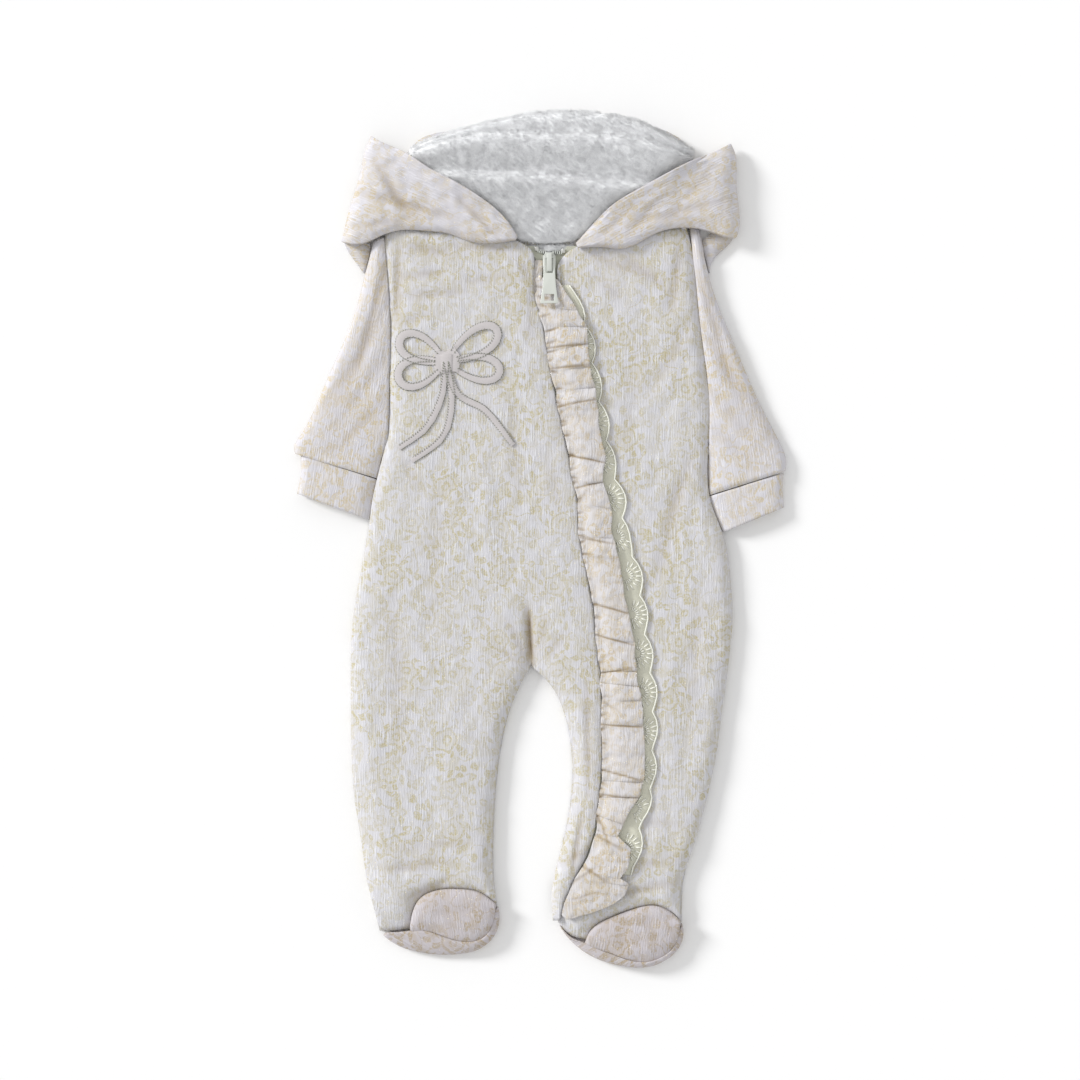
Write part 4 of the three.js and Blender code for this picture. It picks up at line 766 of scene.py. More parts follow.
def tube(path: Sequence[Vector], radius: float, sides: int = 5, closed: bool = False) -> tuple[list, list]:
    """A thin round thread along a path.

    Args:
        path: its points, in metres.
        radius: its radius, in metres.
        sides: how many sides it has.
        closed: whether its ends meet.

    Returns:
        Its points and its faces.
    """
    points, faces = [], []
    count = len(path)
    for i, at in enumerate(path):
        before = path[i - 1] if i or closed else path[0]
        after = path[(i + 1) % count] if i < count - 1 or closed else path[-1]
        way = (after - before).normalized()
        side = way.cross(Vector((0, 0, 1)))
        side = side.normalized() if side.length > 1e-6 else Vector((1, 0, 0))
        up = side.cross(way)
        for k in range(sides):
            angle = 2 * math.pi * k / sides
            points.append(at + radius * (math.cos(angle) * side + math.sin(angle) * up))
    for i in range(count if closed else count - 1):
        a, b = i * sides, ((i + 1) % count) * sides
        for k in range(sides):
            n = (k + 1) % sides
            faces.append((a + k, a + n, b + n, b + k))
    if not closed:
        faces.append(tuple(reversed(range(sides))))
        faces.append(tuple(range((count - 1) * sides, count * sides)))
    return points, faces


class Gatherer:
    """Collects many small shapes into one mesh."""

    def __init__(self) -> None:
        """Starts with nothing."""
        self.points: list = []
        self.faces: list = []

    def add(self, shape: tuple[Sequence, Sequence]) -> None:
        """Adds a shape's points and faces."""
        start = len(self.points)
        self.points.extend(tuple(p) for p in shape[0])
        self.faces.extend(tuple(start + k for k in face) for face in shape[1])

    def piece(self, name: str, material: bpy.types.Material, body: str, slot: str) -> bpy.types.Object:
        """Makes one object of all that was added.

        Args:
            name: the object's name.
            material: its material.
            body: the body that it rides on.
            slot: not used.

        Returns:
            The new object.
        """
        mesh = bpy.data.meshes.new(name)
        mesh.from_pydata(self.points, [], self.faces)
        mesh.shade_smooth()
        mesh.materials.append(material)
        made = bpy.data.objects.new(name, mesh)
        bpy.context.collection.objects.link(made)
        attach(made, body)
        return made


class Surface:
    """Finds the height of dressed cloth under a plan point."""

    def __init__(self, *pieces: bpy.types.Object) -> None:
        """Reads the pieces' meshes.

        Args:
            pieces: the objects that carry something.
        """
        self.trees = []
        for piece in pieces:
            made = bmesh.new()
            made.from_mesh(piece.data)
            self.trees.append(BVHTree.FromBMesh(made))
            made.free()

    def height(self, x: float, y: float) -> float:
        """The top of the cloth at a plan point, in metres, or 0 where there is none."""
        hits = [tree.ray_cast(Vector((x, y, 0.1)), Vector((0, 0, -1)))[0] for tree in self.trees]
        return max([hit.z for hit in hits if hit] or [0.0])

    def on(self, x: float, y: float, lift: float) -> Vector:
        """A point that lies on the cloth, lifted by a distance."""
        return Vector((x, y, self.height(x, y) + lift))


@dataclass
class Body:
    """The two fronts and the back."""

    right_creases: tuple[Crease, ...] = (
        (-7.6, -50, -6.4, -90, 2.4, 1.7),
        (-9, -44, -6.5, -84, 1.0, 3.6),
        (-22, -58, -9, -84, 0.7, 2.6),
        (4, -56, -3, -82, 0.7, 2.6),
        (-30, -74, -12, -88, 0.6, 3.2),
        (18, -64, 4, -84, 0.6, 3.0),
        (-99, 205, -101, 150, 1.2, 3.0),
        (-92, 206, -60, 199, 1.0, 3.4),
        (-62, 206, -20, 204, 0.8, 3.0),
        (-97, 184, -66, 188, 0.8, 2.6),
        (-94, 170, -52, 174, 0.8, 2.8),
        (-60, 180, -24, 184, 0.5, 2.6),
        (-96, 152, -76, 158, 0.6, 3.0),
        (-40, 60, -36, -20, -0.7, 6.0),
        (-70, 40, -76, -60, 0.6, 6.0),
        (-20, 100, -14, 20, 0.6, 5.0),
        (-96, 60, -84, 34, 0.7, 4.0),
        (-104, -40, -96, -150, 0.7, 5.5),
        (-60, -110, -62, -200, -0.7, 8.0),
        (-112, -232, -62, -224, 1.1, 3.0),
        (-100, -216, -50, -212, 0.7, 2.8),
        (-96, -252, -60, -236, 0.8, 2.8),
        (33, -100, 34, -180, 0.8, 2.4),
        (30, -190, 22, -236, 0.9, 2.2),
        (36, -216, 16, -226, 0.7, 2.2),
        (34, -150, 38, -154, 0.4, 2.6),
        (6, 60, 14, 20, 0.4, 3.6),
        (-4, 176, -8, 140, 0.5, 3.0),
        (-14, 196, -8, 184, 0.7, 3.0),
    )
    left_creases: tuple[Crease, ...] = (
        (98, 206, 92, 160, 1.1, 3.2),
        (56, 200, 90, 176, 1.1, 3.4),
        (36, 200, 70, 186, 0.8, 3.0),
        (40, 184, 60, 166, 0.6, 3.0),
        (104, 150, 80, 106, 0.8, 4.2),
        (70, 140, 60, 60, 0.6, 5.5),
        (108, 60, 88, 10, 1.1, 4.2),
        (98, 30, 80, -30, 0.8, 4.6),
        (112, -40, 104, -140, 0.8, 6.0),
        (90, -80, 88, -190, -0.7, 7.5),
        (52, -248, 96, -240, 1.1, 2.8),
        (58, -230, 98, -222, 0.8, 3.0),
        (66, -200, 100, -196, 0.6, 3.2),
        (22, 176, 26, 150, 0.5, 3.0),
    )

    def build(self) -> list[Panel]:
        """Makes the three panels.

        Returns:
            The panels, built and undressed.
        """
        panels = [
            Panel("front_right", (176, 494), 60500, rests_on=("back",), creases=self.right_creases),
            Panel("front_left", (123, 500), 42000, Grain(0, (310, 40)), rests_on=("back",), creases=self.left_creases),
            Panel("back", (268, 507), 106000, Grain(0, (700, 90)), levels=1, crumple=0.0),
        ]
        for panel in panels:
            panel.build()
        return panels


@dataclass
class Sleeves:
    """Sleeves and their bands."""

    def build(self) -> list[Panel]:
        """Makes both sleeves and both cuffs.

        Returns:
            The panels, built and undressed.
        """
        right = (-118, 200, -142, 30)
        left = (116, 200, 144, 22)
        folds_right = (
            (-106, 198, -128, 120, 1.1, 2.8),
            (-107, 166, -146, 88, 0.8, 3.4),
            (-108, 128, -152, 70, 0.7, 3.2),
            (-112, 96, -148, 58, 0.9, 3.0),
            (-124, 176, -142, 124, -0.9, 4.0),
            (-128, 128, -164, 78, 0.6, 3.2),
        )
        folds_left = (
            (108, 196, 134, 112, 0.9, 3.0),
            (110, 158, 150, 80, 0.8, 3.6),
            (112, 114, 156, 62, 0.7, 3.4),
            (116, 84, 152, 50, 0.6, 3.2),
            (124, 168, 144, 112, -0.9, 4.0),
            (132, 124, 166, 66, 0.6, 3.2),
        )
        panels = [
            TubePanel("sleeve_right", (130, 174), 14000, Grain(0, (40, 900)), creases=folds_right, arm=right),
            TubePanel("sleeve_left", (126, 166), 12500, Grain(0, (140, 1300)), creases=folds_left, arm=left, tuck=9.0),
            TubePanel("cuff_right", (98, 32), 3050, Grain(0, (20, 60)), slot="cuff_cloth", levels=3, crumple=0.2, arm=right),
            TubePanel("cuff_left", (94, 30), 2700, Grain(0, (80, 160)), slot="cuff_cloth", levels=3, crumple=0.2, arm=left),
        ]
        for panel in panels:
            panel.build()
        return panels


@dataclass
class Booties:
    """The two feet: uppers set into the legs and soles that wrap the toes."""

    def build(self) -> list[Panel]:
        """Makes the uppers and the soles.

        Returns:
            The panels, built and undressed.
        """
        folds_right = ((-76, -262, -44, -258, 0.5, 3.0), (-66, -252, -60, -276, 0.4, 3.0), (-84, -268, -62, -276, 0.5, 2.6))
        folds_left = ((46, -268, 84, -264, 0.5, 3.2), (60, -264, 56, -288, 0.4, 3.0), (74, -270, 88, -284, 0.5, 3.0))
        panels = [
            Panel("foot_top_right", (64, 42), 2150, Grain(8, (400, 30)), creases=folds_right, rests_on=("sole_right",), seam_reach=0.55),
            Panel("foot_top_left", (68, 44), 2250, Grain(-8, (520, 70)), creases=folds_left, rests_on=("sole_left",), seam_reach=0.55),
            Panel("sole_right", (84, 34), 2300, Grain(62, (250, 260)), crumple=0.25, seam_reach=0.4),
            Panel("sole_left", (88, 32), 2150, Grain(-62, (350, 160)), crumple=0.25, seam_reach=0.4),
        ]
        for panel in panels:
            panel.build()
        return panels


@dataclass
class Pile:
    """Soft short fur over a plush piece: many small bent blades in clumps."""

    name: str
    count: int
    length: float
    slot: str = "plush_lining"
    width: float = 0.22

    def build(self, base: bpy.types.Object, material: bpy.types.Material) -> bpy.types.Object:
        """Grows the pile on the stretches of a piece that face up.

        Args:
            base: the plush piece.
            material: the pile's material.

        Returns:
            The new object.
        """
        mesh = base.data
        mesh.calc_loop_triangles()
        chance = np.random.default_rng(SEED)
        points, normals = vertices_of(mesh), normals_of(mesh)
        corners = np.empty(len(mesh.loop_triangles) * 3, dtype=int)
        mesh.loop_triangles.foreach_get("vertices", corners)
        corners = corners.reshape(-1, 3)
        a, b, c = (points[corners[:, k]] for k in range(3))
        cross = np.cross(b - a, c - a)
        area = np.linalg.norm(cross, axis=1) / 2
        shown = np.where(cross[:, 2] > 0.03 * np.linalg.norm(cross, axis=1), area, 0.0)
        face = chance.choice(len(corners), self.count, p=shown / shown.sum())
        u, v = chance.random(self.count), chance.random(self.count)
        flip = u + v > 1
        u[flip], v[flip] = 1 - u[flip], 1 - v[flip]
        weights = np.stack([1 - u - v, u, v], axis=1)[:, :, None]
        root = (points[corners[face]] * weights).sum(axis=1)
        up = (normals[corners[face]] * weights).sum(axis=1)
        up /= np.linalg.norm(up, axis=1, keepdims=True)
        lean = np.stack(
            [
                waves(root[:, :2], 11 * MM, SEED + 1) + 0.5 * waves(root[:, :2], 4 * MM, SEED + 3),
                waves(root[:, :2], 11 * MM, SEED + 2) + 0.5 * waves(root[:, :2], 4 * MM, SEED + 4) - 0.35,
                np.zeros(self.count),
            ],
            axis=1,
        )
        lean += chance.normal(0, 0.45, lean.shape) * np.array([1, 1, 0.3])
        reach = self.length * MM * chance.uniform(0.6, 1.15, (self.count, 1))
        way = up + 0.75 * lean
        way /= np.linalg.norm(way, axis=1, keepdims=True)
        tip_way = up * 0.55 + 1.15 * lean
        tip_way /= np.linalg.norm(tip_way, axis=1, keepdims=True)
        side = np.cross(way, chance.normal(0, 1, way.shape))
        side /= np.linalg.norm(side, axis=1, keepdims=True)
        half = self.width * MM / 2
        middle = root + way * reach * 0.55
        tip = middle + tip_way * reach * 0.45
        tip[:, 2] = np.maximum(tip[:, 2], 0.2 * MM)
        corners_of = np.stack(
            [root - side * half, root + side * half, middle - side * half * 0.8, middle + side * half * 0.8, tip],
            axis=1,
        )
        start = 5 * np.arange(self.count)[:, None]
        faces = np.concatenate([start + [0, 1, 3], start + [0, 3, 2], start + [2, 3, 4]], axis=0)
        flat = corners_of.reshape(-1, 3)
        p, q, r = (flat[faces[:, k], :2] for k in range(3))
        under = (q - p)[:, 0] * (r - p)[:, 1] - (q - p)[:, 1] * (r - p)[:, 0] < 0
        faces[under] = faces[under][:, ::-1]
        made = bpy.data.meshes.new(self.name)
        made.from_pydata(flat, [], faces.tolist())
        lay_cloth(made, np.repeat(root[:, :2], 5, axis=0))
        made.shade_smooth()
        soft = 0.85 * up + np.array([0, 0, 0.15]) + 0.05 * lean * np.array([1, 1, 0])
        soft /= np.linalg.norm(soft, axis=1, keepdims=True)
        made.normals_split_custom_set_from_vertices(np.repeat(soft, 5, axis=0))
        made.materials.append(material)
        pile = bpy.data.objects.new(self.name, made)
        bpy.context.collection.objects.link(pile)
        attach(pile, GARMENT)
        return pile


@dataclass
class Hood:
    """Outer hood cloth, its turned-out sides and the plush lining."""

    def build(self) -> list[Panel]:
        """Makes the hood's outer cloth.

        Returns:
            The panels, built and undressed.
        """
        right_folds = (
            (-128, 244, -58, 224, 1.2, 3.2),
            (-108, 250, -86, 222, 1.0, 3.4),
            (-118, 268, -98, 238, 0.9, 3.2),
            (-90, 254, -40, 224, -1.0, 3.4),
            (-130, 218, -92, 224, 0.8, 3.0),
            (-56, 238, -30, 212, 0.9, 2.6),
            (-84, 214, -40, 212, 0.7, 2.6),
        )
        left_folds = (
            (134, 238, 70, 222, 0.8, 3.4),
            (124, 262, 94, 230, 0.6, 3.2),
            (104, 252, 60, 226, -0.7, 3.4),
            (120, 220, 88, 226, 0.5, 3.0),
            (64, 232, 40, 210, 0.6, 2.8),
            (86, 240, 60, 212, 0.6, 3.0),
        )
        panels = [
            Panel("hood_back", (278, 112), 22500, Grain(90, (60, 500)), levels=1, crumple=0.0),
            Panel("hood_side_right", (124, 78), 5600, Grain(64, (90, 700)), levels=3, creases=right_folds, rests_on=("front_right", "sleeve_right"), crumple=0.45, rim=0.7),
            Panel("hood_side_left", (116, 76), 5000, Grain(-64, (190, 800)), levels=3, creases=left_folds, rests_on=("front_left", "sleeve_left"), crumple=0.4, rim=0.7),
        ]
        for panel in panels:
            panel.build()
        return panels

    def lining(self) -> list[Panel]:
        """Makes the plush lining of hood and neck.

        Returns:
            The panels, built and undressed.
        """
        panels = [
            Panel("hood_lining", (202, 98), 17500, Grain(0, (5, 5)), Held.FOLDED, ("hood_back",), "plush_lining", 3, 0.3, 21.0, rim=0.1),
            Panel("neck_lining", (31, 10), 170, Grain(), Held.LAID, ("back",), "plush_lining", 1, 0.0),
        ]
        for panel in panels:
            panel.build()
        return panels


@dataclass
class Frill:
    """The pleated strip over the zip."""

    pleats: tuple[Crease, ...] = (
        (4, 134, 34, 138, 0.6, 0.7),
        (5, 119.6, 36, 123, 0.6, 0.7),
        (12, 108, 30, 111, 0.3, 1.2),
        (14, 94, 42, 98.6, 0.6, 0.7),
        (13, 88, 26, 96, 0.3, 1.2),
        (17, 60, 47, 53.6, 0.7, 0.7),
        (21, 35, 48, 42, 0.6, 0.7),
        (24, 22, 36, 38, 0.4, 1.4),
        (26, 2, 52, -3, 0.6, 0.8),
        (33, -43, 66, -53, 0.8, 0.7),
        (35, -65, 68, -74, 0.8, 0.7),
        (40, -86, 56, -76, 0.4, 1.2),
        (38, -94, 64, -89, 0.7, 0.7),
        (42, -112, 56, -120, 0.4, 1.0),
        (41, -129, 76, -131, 0.8, 0.7),
        (40, -160, 72, -168, 0.7, 0.7),
        (40, -178, 70, -180, 0.6, 0.7),
        (38, -186, 48, -212, 0.7, 1.1),
        (34, -204, 58, -216, 0.6, 1.1),
        (26, -226, 50, -240, 0.7, 1.1),
        (14, -246, 44, -226, 0.6, 1.3),
        (22, -252, 40, -246, 0.5, 1.2),
        (40, -210, 60, -228, -0.9, 3.0),
        (20, -236, 44, -232, -0.9, 3.2),
        (10, 127, 30, 130, -0.6, 2.6),
        (18, 74, 42, 76, -0.7, 4.0),
        (28, 14, 48, 16, -0.7, 4.0),
        (32, -24, 58, -26, -0.8, 4.5),
        (38, -106, 64, -104, -0.7, 4.0),
        (42, -150, 68, -150, -0.8, 4.5),
    )
    pucker_pitch: float = 7.0
    seam: tuple[Point, ...] = ((-2.5, 180), (3, 150), (8, 110), (20, 40), (33, -40), (39, -100), (40, -180), (24, -226))

    def puckers(self) -> list[Crease]:
        """Short gathers beside the seam that the frill hangs from, uneven in length and depth."""
        chance = np.random.default_rng(SEED + 5)
        gathers = []
        for (x1, y1), (x2, y2) in zip(self.seam, self.seam[1:]):
            for k in range(max(int((y1 - y2) / self.pucker_pitch), 1)):
                t = (k + chance.uniform(0.1, 0.9)) / ((y1 - y2) / self.pucker_pitch)
                x, y = x1 + (x2 - x1) * t, y1 + (y2 - y1) * t
                reach, drop = chance.uniform(4, 9), chance.uniform(-3, 3)
                gathers.append((x - 1.5, y, x + reach, y + drop, chance.uniform(0.4, 0.9), chance.uniform(0.7, 1.1)))
        return gathers

    def build(self) -> list[Panel]:
        """Makes the frill.

        Returns:
            The panel, built and undressed.
        """
        panel = Panel(
            "ruffle",
            (36, 480),
            16000,
            Grain(-4, (30, 1500)),
            Held.GATHERED,
            ("lace", "zip_tape_left"),
            levels=3,
            crumple=0.35,
            crumple_scale=9,
            creases=(*self.pleats, *self.puckers()),
            rim=0.4,
            seam_reach=0.9,
            sway=0.8,
            settle_below=-206,
        )
        panel.build()
        return [panel]


@dataclass
class LaceStrip:
    """Organza with an embroidered, scalloped edge."""

    levels_a_scallop: int = 5
    edge_radius: float = 0.5
    dash_radius: float = 0.5
    fan_reach: float = 12.6
    dashes: tuple[tuple[float, float], ...] = ((0.3, 0.52), (0.64, 0.98))

    def build(self) -> list[Panel]:
        """Makes the organza.

        Returns:
            The panel, built and undressed.
        """
        panel = Panel("lace", (40, 430), 9300, Grain(-4, (0, 0)), Held.LAID, ("front_left",), "organza_lace", 1, 0.0)
        panel.build()
        return [panel]

    def embroidery(self, material: bpy.types.Material) -> bpy.types.Object:
        """Sews the corded edge and a fan of spokes into each scallop.

        Args:
            material: the thread's material.

        Returns:
            The new object.
        """
        organza = bpy.data.objects["lace_cloth"]
        edge = self.free_edge(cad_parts["lace"].data)
        surface = Surface(organza)
        sewn = Gatherer()
        dense = [edge[0]]
        for a, b in zip(edge, edge[1:]):
            dense.extend(a.lerp(b, k / 3) for k in (1, 2, 3))
        cord = [Vector((p.x - 0.5 * MM, p.y, surface.height(p.x - 1.2 * MM, p.y) + 0.25 * MM)) for p in dense]
        cord = [p for p in cord if p.z > 4 * MM]
        sewn.add(tube(cord, self.edge_radius * MM))
        step = self.levels_a_scallop
        for a, b in zip(edge[step::step], edge[2 * step :: step]):
            heart = (a + b) / 2 + Vector((-8.5 * MM, 0, 0))
            for k in range(-4, 5):
                way = Vector((math.cos(0.33 * k), math.sin(0.33 * k), 0)) * (self.fan_reach - 0.5 * abs(k)) * MM
                for inner, outer in self.dashes:
                    places = [heart + way * (inner + (outer - inner) * s) for s in (0.0, 0.5, 1.0)]
                    dash = [surface.on(place.x, place.y, 0.3 * MM) for place in places]
                    if min(p.z for p in dash) > 4 * MM:
                        sewn.add(tube(dash, self.dash_radius * MM, 4))
        return sewn.piece("lace_embroidery", material, GARMENT, "organza_lace")

    def free_edge(self, mesh: bpy.types.Mesh) -> list[Vector]:
        """The strip's scalloped edge, from the neck down.

        Args:
            mesh: the strip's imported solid.

        Returns:
            Its points, one for each level of the solid.
        """
        levels: dict[int, Vector] = {}
        for vertex in mesh.vertices:
            key = round(vertex.co.y / (0.2 * MM))
            if key not in levels or vertex.co.x > levels[key].x:
                levels[key] = vertex.co.copy()
        return [levels[key] for key in sorted(levels, reverse=True)]


@dataclass
class Bow:
    """Satin ribbon bow, sewn on round its edges with short silver stitches."""

    centre: Point = (-65.8, 124.3)
    band: float = 5.6
    loops: tuple[tuple[float, float, float], ...] = ((153, 36, 8.6), (199, 35, 9.2), (33, 42, 8.6), (-10, 38, 8.2))
    tails: tuple[tuple[Point, ...], ...] = (
        ((-3, -24), (-14, -46), (-33, -60)),
        ((4, -26), (-2, -52), (-24, -69)),
        ((8, -22), (28, -34), (47, -58)),
    )
    stitch: float = 1.9
    slimmest: float = 0.5
    sink: float = 0.6

    def loop_width(self, share: float) -> float:
        """A loop's ribbon width at a share of its length, in millimetres."""
        slim = self.slimmest * self.band
        return slim + (self.band - slim) * max(math.sin(math.pi * share), 0) ** 0.8

    def tail_width(self, share: float) -> float:
        """A tail's ribbon width at a share of its length, in millimetres."""
        slim = self.slimmest * self.band
        return slim + (0.8 * self.band - slim) * math.sin(math.pi * (0.1 + 0.8 * share))

    def loop_line(self, angle: float, length: float, half: float) -> list[Point]:
        """The middle line of one loop, from the knot out and back."""
        heading = math.radians(angle)
        line = []
        for i in range(41):
            turn = 0.9 + (2 * math.pi - 1.8) * i / 40
            along = length * (1 - math.cos(turn)) / 2
            aside = 1.3 * half * math.sin(turn) * math.sin(turn / 2)
            line.append(
                (
                    self.centre[0] + along * math.cos(heading) - aside * math.sin(heading),
                    self.centre[1] + along * math.sin(heading) + aside * math.cos(heading),
                )
            )
        return line

    def tail_line(self, points: Sequence[Point]) -> list[Point]:
        """The middle line of one tail, a smooth curve through its points."""
        stops = [(0.0, 0.0), *points]
        line = []
        for i in range(len(stops) - 1):
            p0, p1 = stops[max(i - 1, 0)], stops[i]
            p2, p3 = stops[i + 1], stops[min(i + 2, len(stops) - 1)]
            for k in range(10):
                t = k / 10
                line.append(tuple(self.centre[axis] + 0.5 * (
                    2 * p1[axis] + (p2[axis] - p0[axis]) * t
                    + (2 * p0[axis] - 5 * p1[axis] + 4 * p2[axis] - p3[axis]) * t**2
                    + (3 * p1[axis] - p0[axis] - 3 * p2[axis] + p3[axis]) * t**3
                ) for axis in (0, 1)))
        return line

    def build(self, ribbon: bpy.types.Material, thread: bpy.types.Material) -> None:
        """Makes the ribbon and its stitches.

        Args:
            ribbon: the ribbon's material.
            thread: the stitches' material.
        """
        bow = fused_copy("bow_applique", "bow_ribbon")
        bevel = bow.modifiers.new("Soft edge", "BEVEL")
        bevel.width, bevel.segments, bevel.limit_method = 0.35 * MM, 2, "ANGLE"
        bevel.angle_limit = math.radians(50)
        settle(bow)
        bow.data.transform(Matrix.Translation((0, 0, -self.sink * MM)))
        bow.data.shade_smooth()
        bow.data.materials.append(ribbon)
        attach(bow, GARMENT)
        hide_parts("bow_applique")
        surface = Surface(bow, bpy.data.objects["front_right_cloth"])
        sewn = Gatherer()
        for side in (-1, 1):
            for loop in self.loops:
                self.stitch_along(self.loop_line(*loop), self.loop_width, side, surface, sewn)
            for tail in self.tails:
                self.stitch_along(self.tail_line(tail), self.tail_width, side, surface, sewn)
        sewn.piece("bow_stitches", thread, GARMENT, "satin_ribbon")

    def stitch_along(
        self, line: Sequence[Point], width: Callable[[float], float], side: int, surface: Surface, sewn: Gatherer
    ) -> None:
        """Lays short stitches along one edge of a ribbon.

        Args:
            line: the ribbon's middle line, in millimetres.
            width: the ribbon's width at a share of its length.
            side: 1 for the line's left edge and -1 for its right.
            surface: the cloth that carries them.
            sewn: takes the stitches.
        """
        offset = []
        for i, (x, y) in enumerate(line):
            (x0, y0), (x1, y1) = line[max(i - 1, 0)], line[min(i + 1, len(line) - 1)]
            length = math.hypot(x1 - x0, y1 - y0)
            aside = side * (width(i / (len(line) - 1)) / 2 + 0.05)
            offset.append((x - (y1 - y0) / length * aside, y + (x1 - x0) / length * aside))
        travelled, due = 0.0, 0.4
        for (x0, y0), (x1, y1) in zip(offset, offset[1:]):
            length = math.hypot(x1 - x0, y1 - y0)
            while due < travelled + length:
                t = (due - travelled) / length
                x, y = (x0 + (x1 - x0) * t) * MM, (y0 + (y1 - y0) * t) * MM
                way = Vector(((x1 - x0) / length, (y1 - y0) / length, 0)) * 0.5 * MM
                lean = Vector((-way.y, way.x, 0)) * 0.6
                ends = [
                    surface.on(x - way.x - lean.x, y - way.y - lean.y, 0.02 * MM),
                    surface.on(x, y, 0.3 * MM),
                    surface.on(x + way.x + lean.x, y + way.y + lean.y, 0.02 * MM),
                ]
                sewn.add(tube(ends, 0.34 * MM, 4))
                due += self.stitch
            travelled += length


@dataclass
class Zip:
    """Tapes, teeth, stops, slider and pull tab."""

    tooth_pitch: float = 1.4

    def build(self, tape: bpy.types.Material, enamel: bpy.types.Material, metal: bpy.types.Material) -> None:
        """Dresses the zip's pieces.

        Args:
            tape: the tapes' material.
            enamel: the slider's, tab's and teeth's material.
            metal: the stops' material.
        """
        for node in ("zip_tape_right", "zip_tape_left"):
            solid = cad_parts[node]
            solid.data.materials.clear()
            solid.data.materials.append(tape)
        for node, body, width in (("zip_slider", GARMENT, 0.45), ("zip_pull_tab", PULL_TAB, 0.4)):
            piece = fused_copy(node, node + "_enamel")
            bevel = piece.modifiers.new("Rolled edge", "BEVEL")
            bevel.width, bevel.segments, bevel.limit_method = width * MM, 3, "ANGLE"
            bevel.angle_limit = math.radians(35)
            settle(piece)
            piece.data.shade_smooth()
            piece.data.materials.append(enamel)
            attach(piece, body)
            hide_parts(node)
        for node in ("zip_stop_right", "zip_stop_left"):
            piece = fused_copy(node, node + "_clamp")
            bevel = piece.modifiers.new("Crimp", "BEVEL")
            bevel.width, bevel.segments = 0.5 * MM, 3
            settle(piece)
            piece.data.shade_smooth()
            piece.data.materials.append(metal)
            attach(piece, GARMENT)
            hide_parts(node)
        self.teeth(enamel)

    def tooth(self, at: Vector, way: Vector, side: int) -> tuple[list, list]:
        """One tooth: a small block that reaches from its tape past the zip's middle.

        Args:
            at: a point on the zip's middle line.
            way: the line's direction.
            side: 1 for the left tape and -1 for the right.

        Returns:
            Its points and faces.
        """
        across = Vector((-way.y, way.x, 0)) * side
        points = []
        for z in (-0.8 * MM, 0.8 * MM):
            for a, w in ((2.0, 0.34), (0.2, 0.34), (-0.6, 0.52), (-0.6, -0.52), (0.2, -0.34), (2.0, -0.34)):
                points.append(at + across * a * MM + way * w * MM + Vector((0, 0, z)))
        faces = [(5, 4, 3, 2, 1, 0), (6, 7, 8, 9, 10, 11)]
        faces += [(k, (k + 1) % 6, (k + 1) % 6 + 6, k + 6) for k in range(6)]
        return points, faces

    def teeth(self, enamel: bpy.types.Material) -> None:
        """Sets the closed chain's teeth, and the open ones up to the stops."""
        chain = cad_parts["zip_chain"].data
        levels: dict[int, list[Vector]] = {}
        for vertex in chain.vertices:
            levels.setdefault(round(vertex.co.y / MM * 10), []).append(vertex.co)
        middle = [sum(group, Vector()) / len(group) for _, group in sorted(levels.items(), reverse=True)]
        row = Gatherer()
        due, travelled, count = 0.0, 0.0, 0
        for a, b in zip(middle, middle[1:]):
            length = (b - a).length
            way = (b - a).normalized()
            while due < travelled + length:
                side = 1 if count % 2 else -1
                row.add(self.tooth(a + way * (due - travelled), way, side))
                due += self.tooth_pitch / 2 * MM
                count += 1
            travelled += length
        chain_piece = row.piece("zip_teeth", enamel, GARMENT, "zip_enamel")
        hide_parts("zip_chain")
        open_row = Gatherer()
        for side, stop in ((-1, Vector((-2.2, 202.4, 0))), (1, Vector((16.0, 200.8, 0)))):
            start = Vector((6.5 + side * 2.2, 201.0, 0))
            for k in range(5):
                at = (start.lerp(stop, (k + 0.4) / 5)) * MM
                at.z = 6.7 * MM
                way = (stop - start).normalized()
                open_row.add(self.tooth(at, way, 1 if side > 0 else -1))
        open_row.piece("zip_open_teeth", enamel, GARMENT, "zip_enamel")


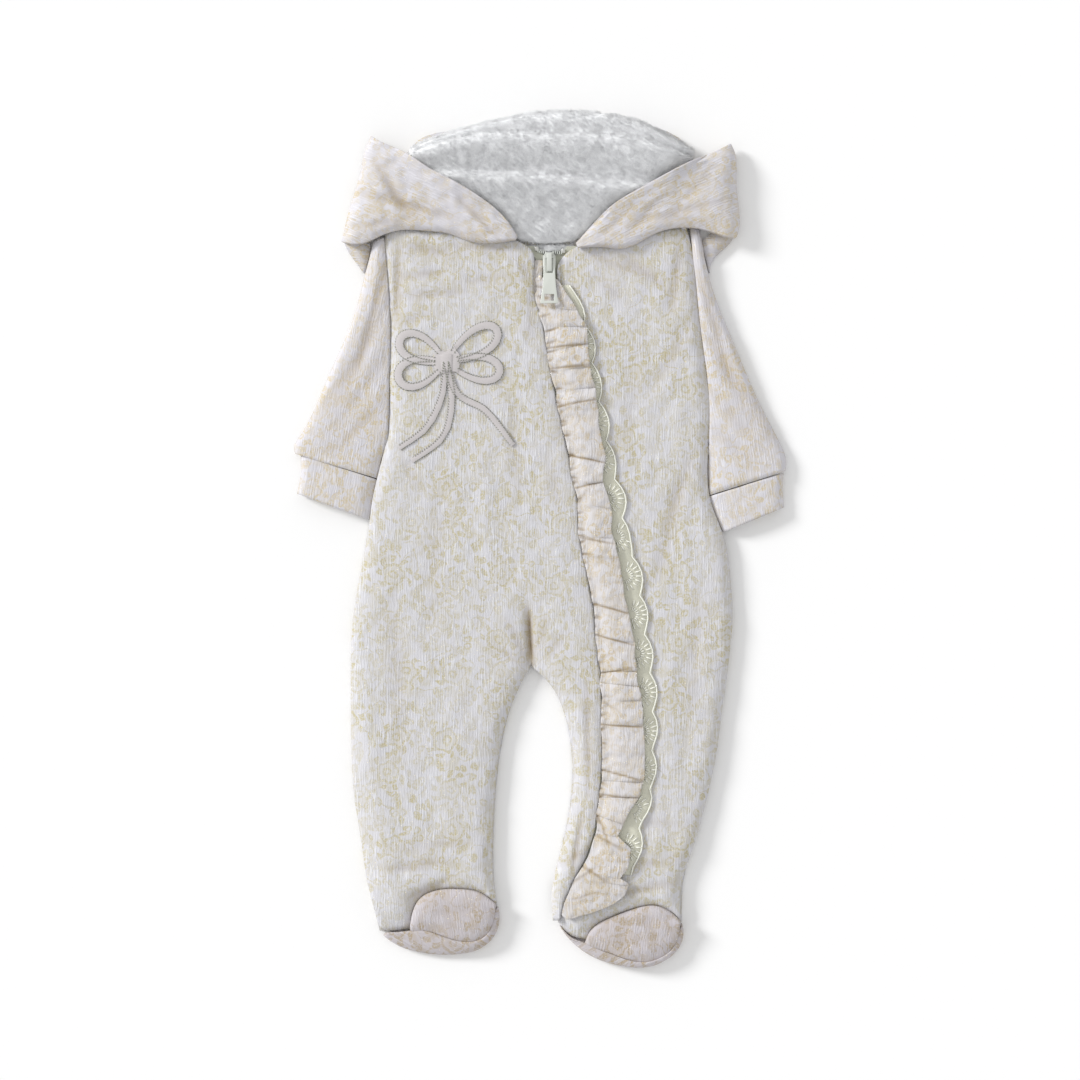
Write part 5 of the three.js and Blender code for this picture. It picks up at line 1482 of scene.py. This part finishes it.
@dataclass
class Studio:
    """A pale floor, soft light and a camera straight above."""

    span: float = 0.756
    lens: float = 85.0
    key_strength: float = 2.5
    key_way: tuple[float, float, float] = (0.75, -0.38, -0.38)
    fill_strength: float = 0.74

    def build(self) -> None:
        """Sets up floor, lights, world and camera."""
        scene = bpy.context.scene
        bpy.ops.mesh.primitive_plane_add(size=6.0, location=(0, 0, -0.0003))
        floor = bpy.context.object
        floor.name = "floor"
        shader = Shader("Floor")
        shader.surface.inputs["Base Color"].default_value = (*srgb(248, 248, 248), 1)
        shader.surface.inputs["Roughness"].default_value = 0.9
        floor.data.materials.append(shader.material)
        floor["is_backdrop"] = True
        world = bpy.data.worlds.new("Studio")
        world.use_nodes = True
        world.node_tree.nodes["Background"].inputs["Color"].default_value = (1, 1, 1, 1)
        world.node_tree.nodes["Background"].inputs["Strength"].default_value = self.fill_strength
        scene.world = world
        key = bpy.data.lights.new("key", "SUN")
        key.energy, key.angle = self.key_strength, math.radians(15)
        holder = bpy.data.objects.new("key", key)
        bpy.context.collection.objects.link(holder)
        holder.rotation_euler = Vector(self.key_way).to_track_quat("-Z", "Y").to_euler()
        camera = bpy.data.objects.new("camera", bpy.data.cameras.new("camera"))
        bpy.context.collection.objects.link(camera)
        camera.data.sensor_width = 36.0
        camera.data.lens = self.lens
        camera.location = (0, 0, self.span * self.lens / 36.0 + 0.01)
        scene.camera = camera
        scene.view_settings.view_transform = "Standard"


def main() -> None:
    """Builds the garment's sub-assemblies in order and reports each piece."""
    logging.basicConfig(level=logging.INFO, format="%(message)s")
    Studio().build()
    body_cloth, warm_cloth = BODY_CLOTH.build(), WARM_CLOTH.build()
    frill_cloth, foot_cloth = FRILL_CLOTH.build(), FOOT_CLOTH.build()
    plush, organza = PLUSH_LINING.build(), LACE_GROUND.build()
    for panel in Body().build():
        panel.dress(body_cloth)
    for panel in Booties().build():
        panel.dress(foot_cloth)
    for panel in Sleeves().build() + Hood().build():
        panel.dress(warm_cloth)
    for panel in Frill().build():
        panel.dress(frill_cloth)
    for panel in Hood().lining():
        panel.dress(plush)
    for panel in LaceStrip().build():
        panel.dress(organza)
    LaceStrip().embroidery(LACE_THREAD.build())
    Pile("hood_pile", 46000, 2.6).build(bpy.data.objects["hood_lining_cloth"], plush)
    Pile("neck_pile", 900, 2.2).build(bpy.data.objects["neck_lining_cloth"], plush)
    Bow().build(RIBBON.build(), SILVER_STITCH.build())
    Zip().build(ZIP_TAPE.build(), ZIP_ENAMEL.build(), STOP_METAL.build())
    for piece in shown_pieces():
        if piece.type == "MESH":
            LOG.info("%s: %d faces", piece.name, len(piece.data.polygons))


if __name__ == "__main__":
    main()
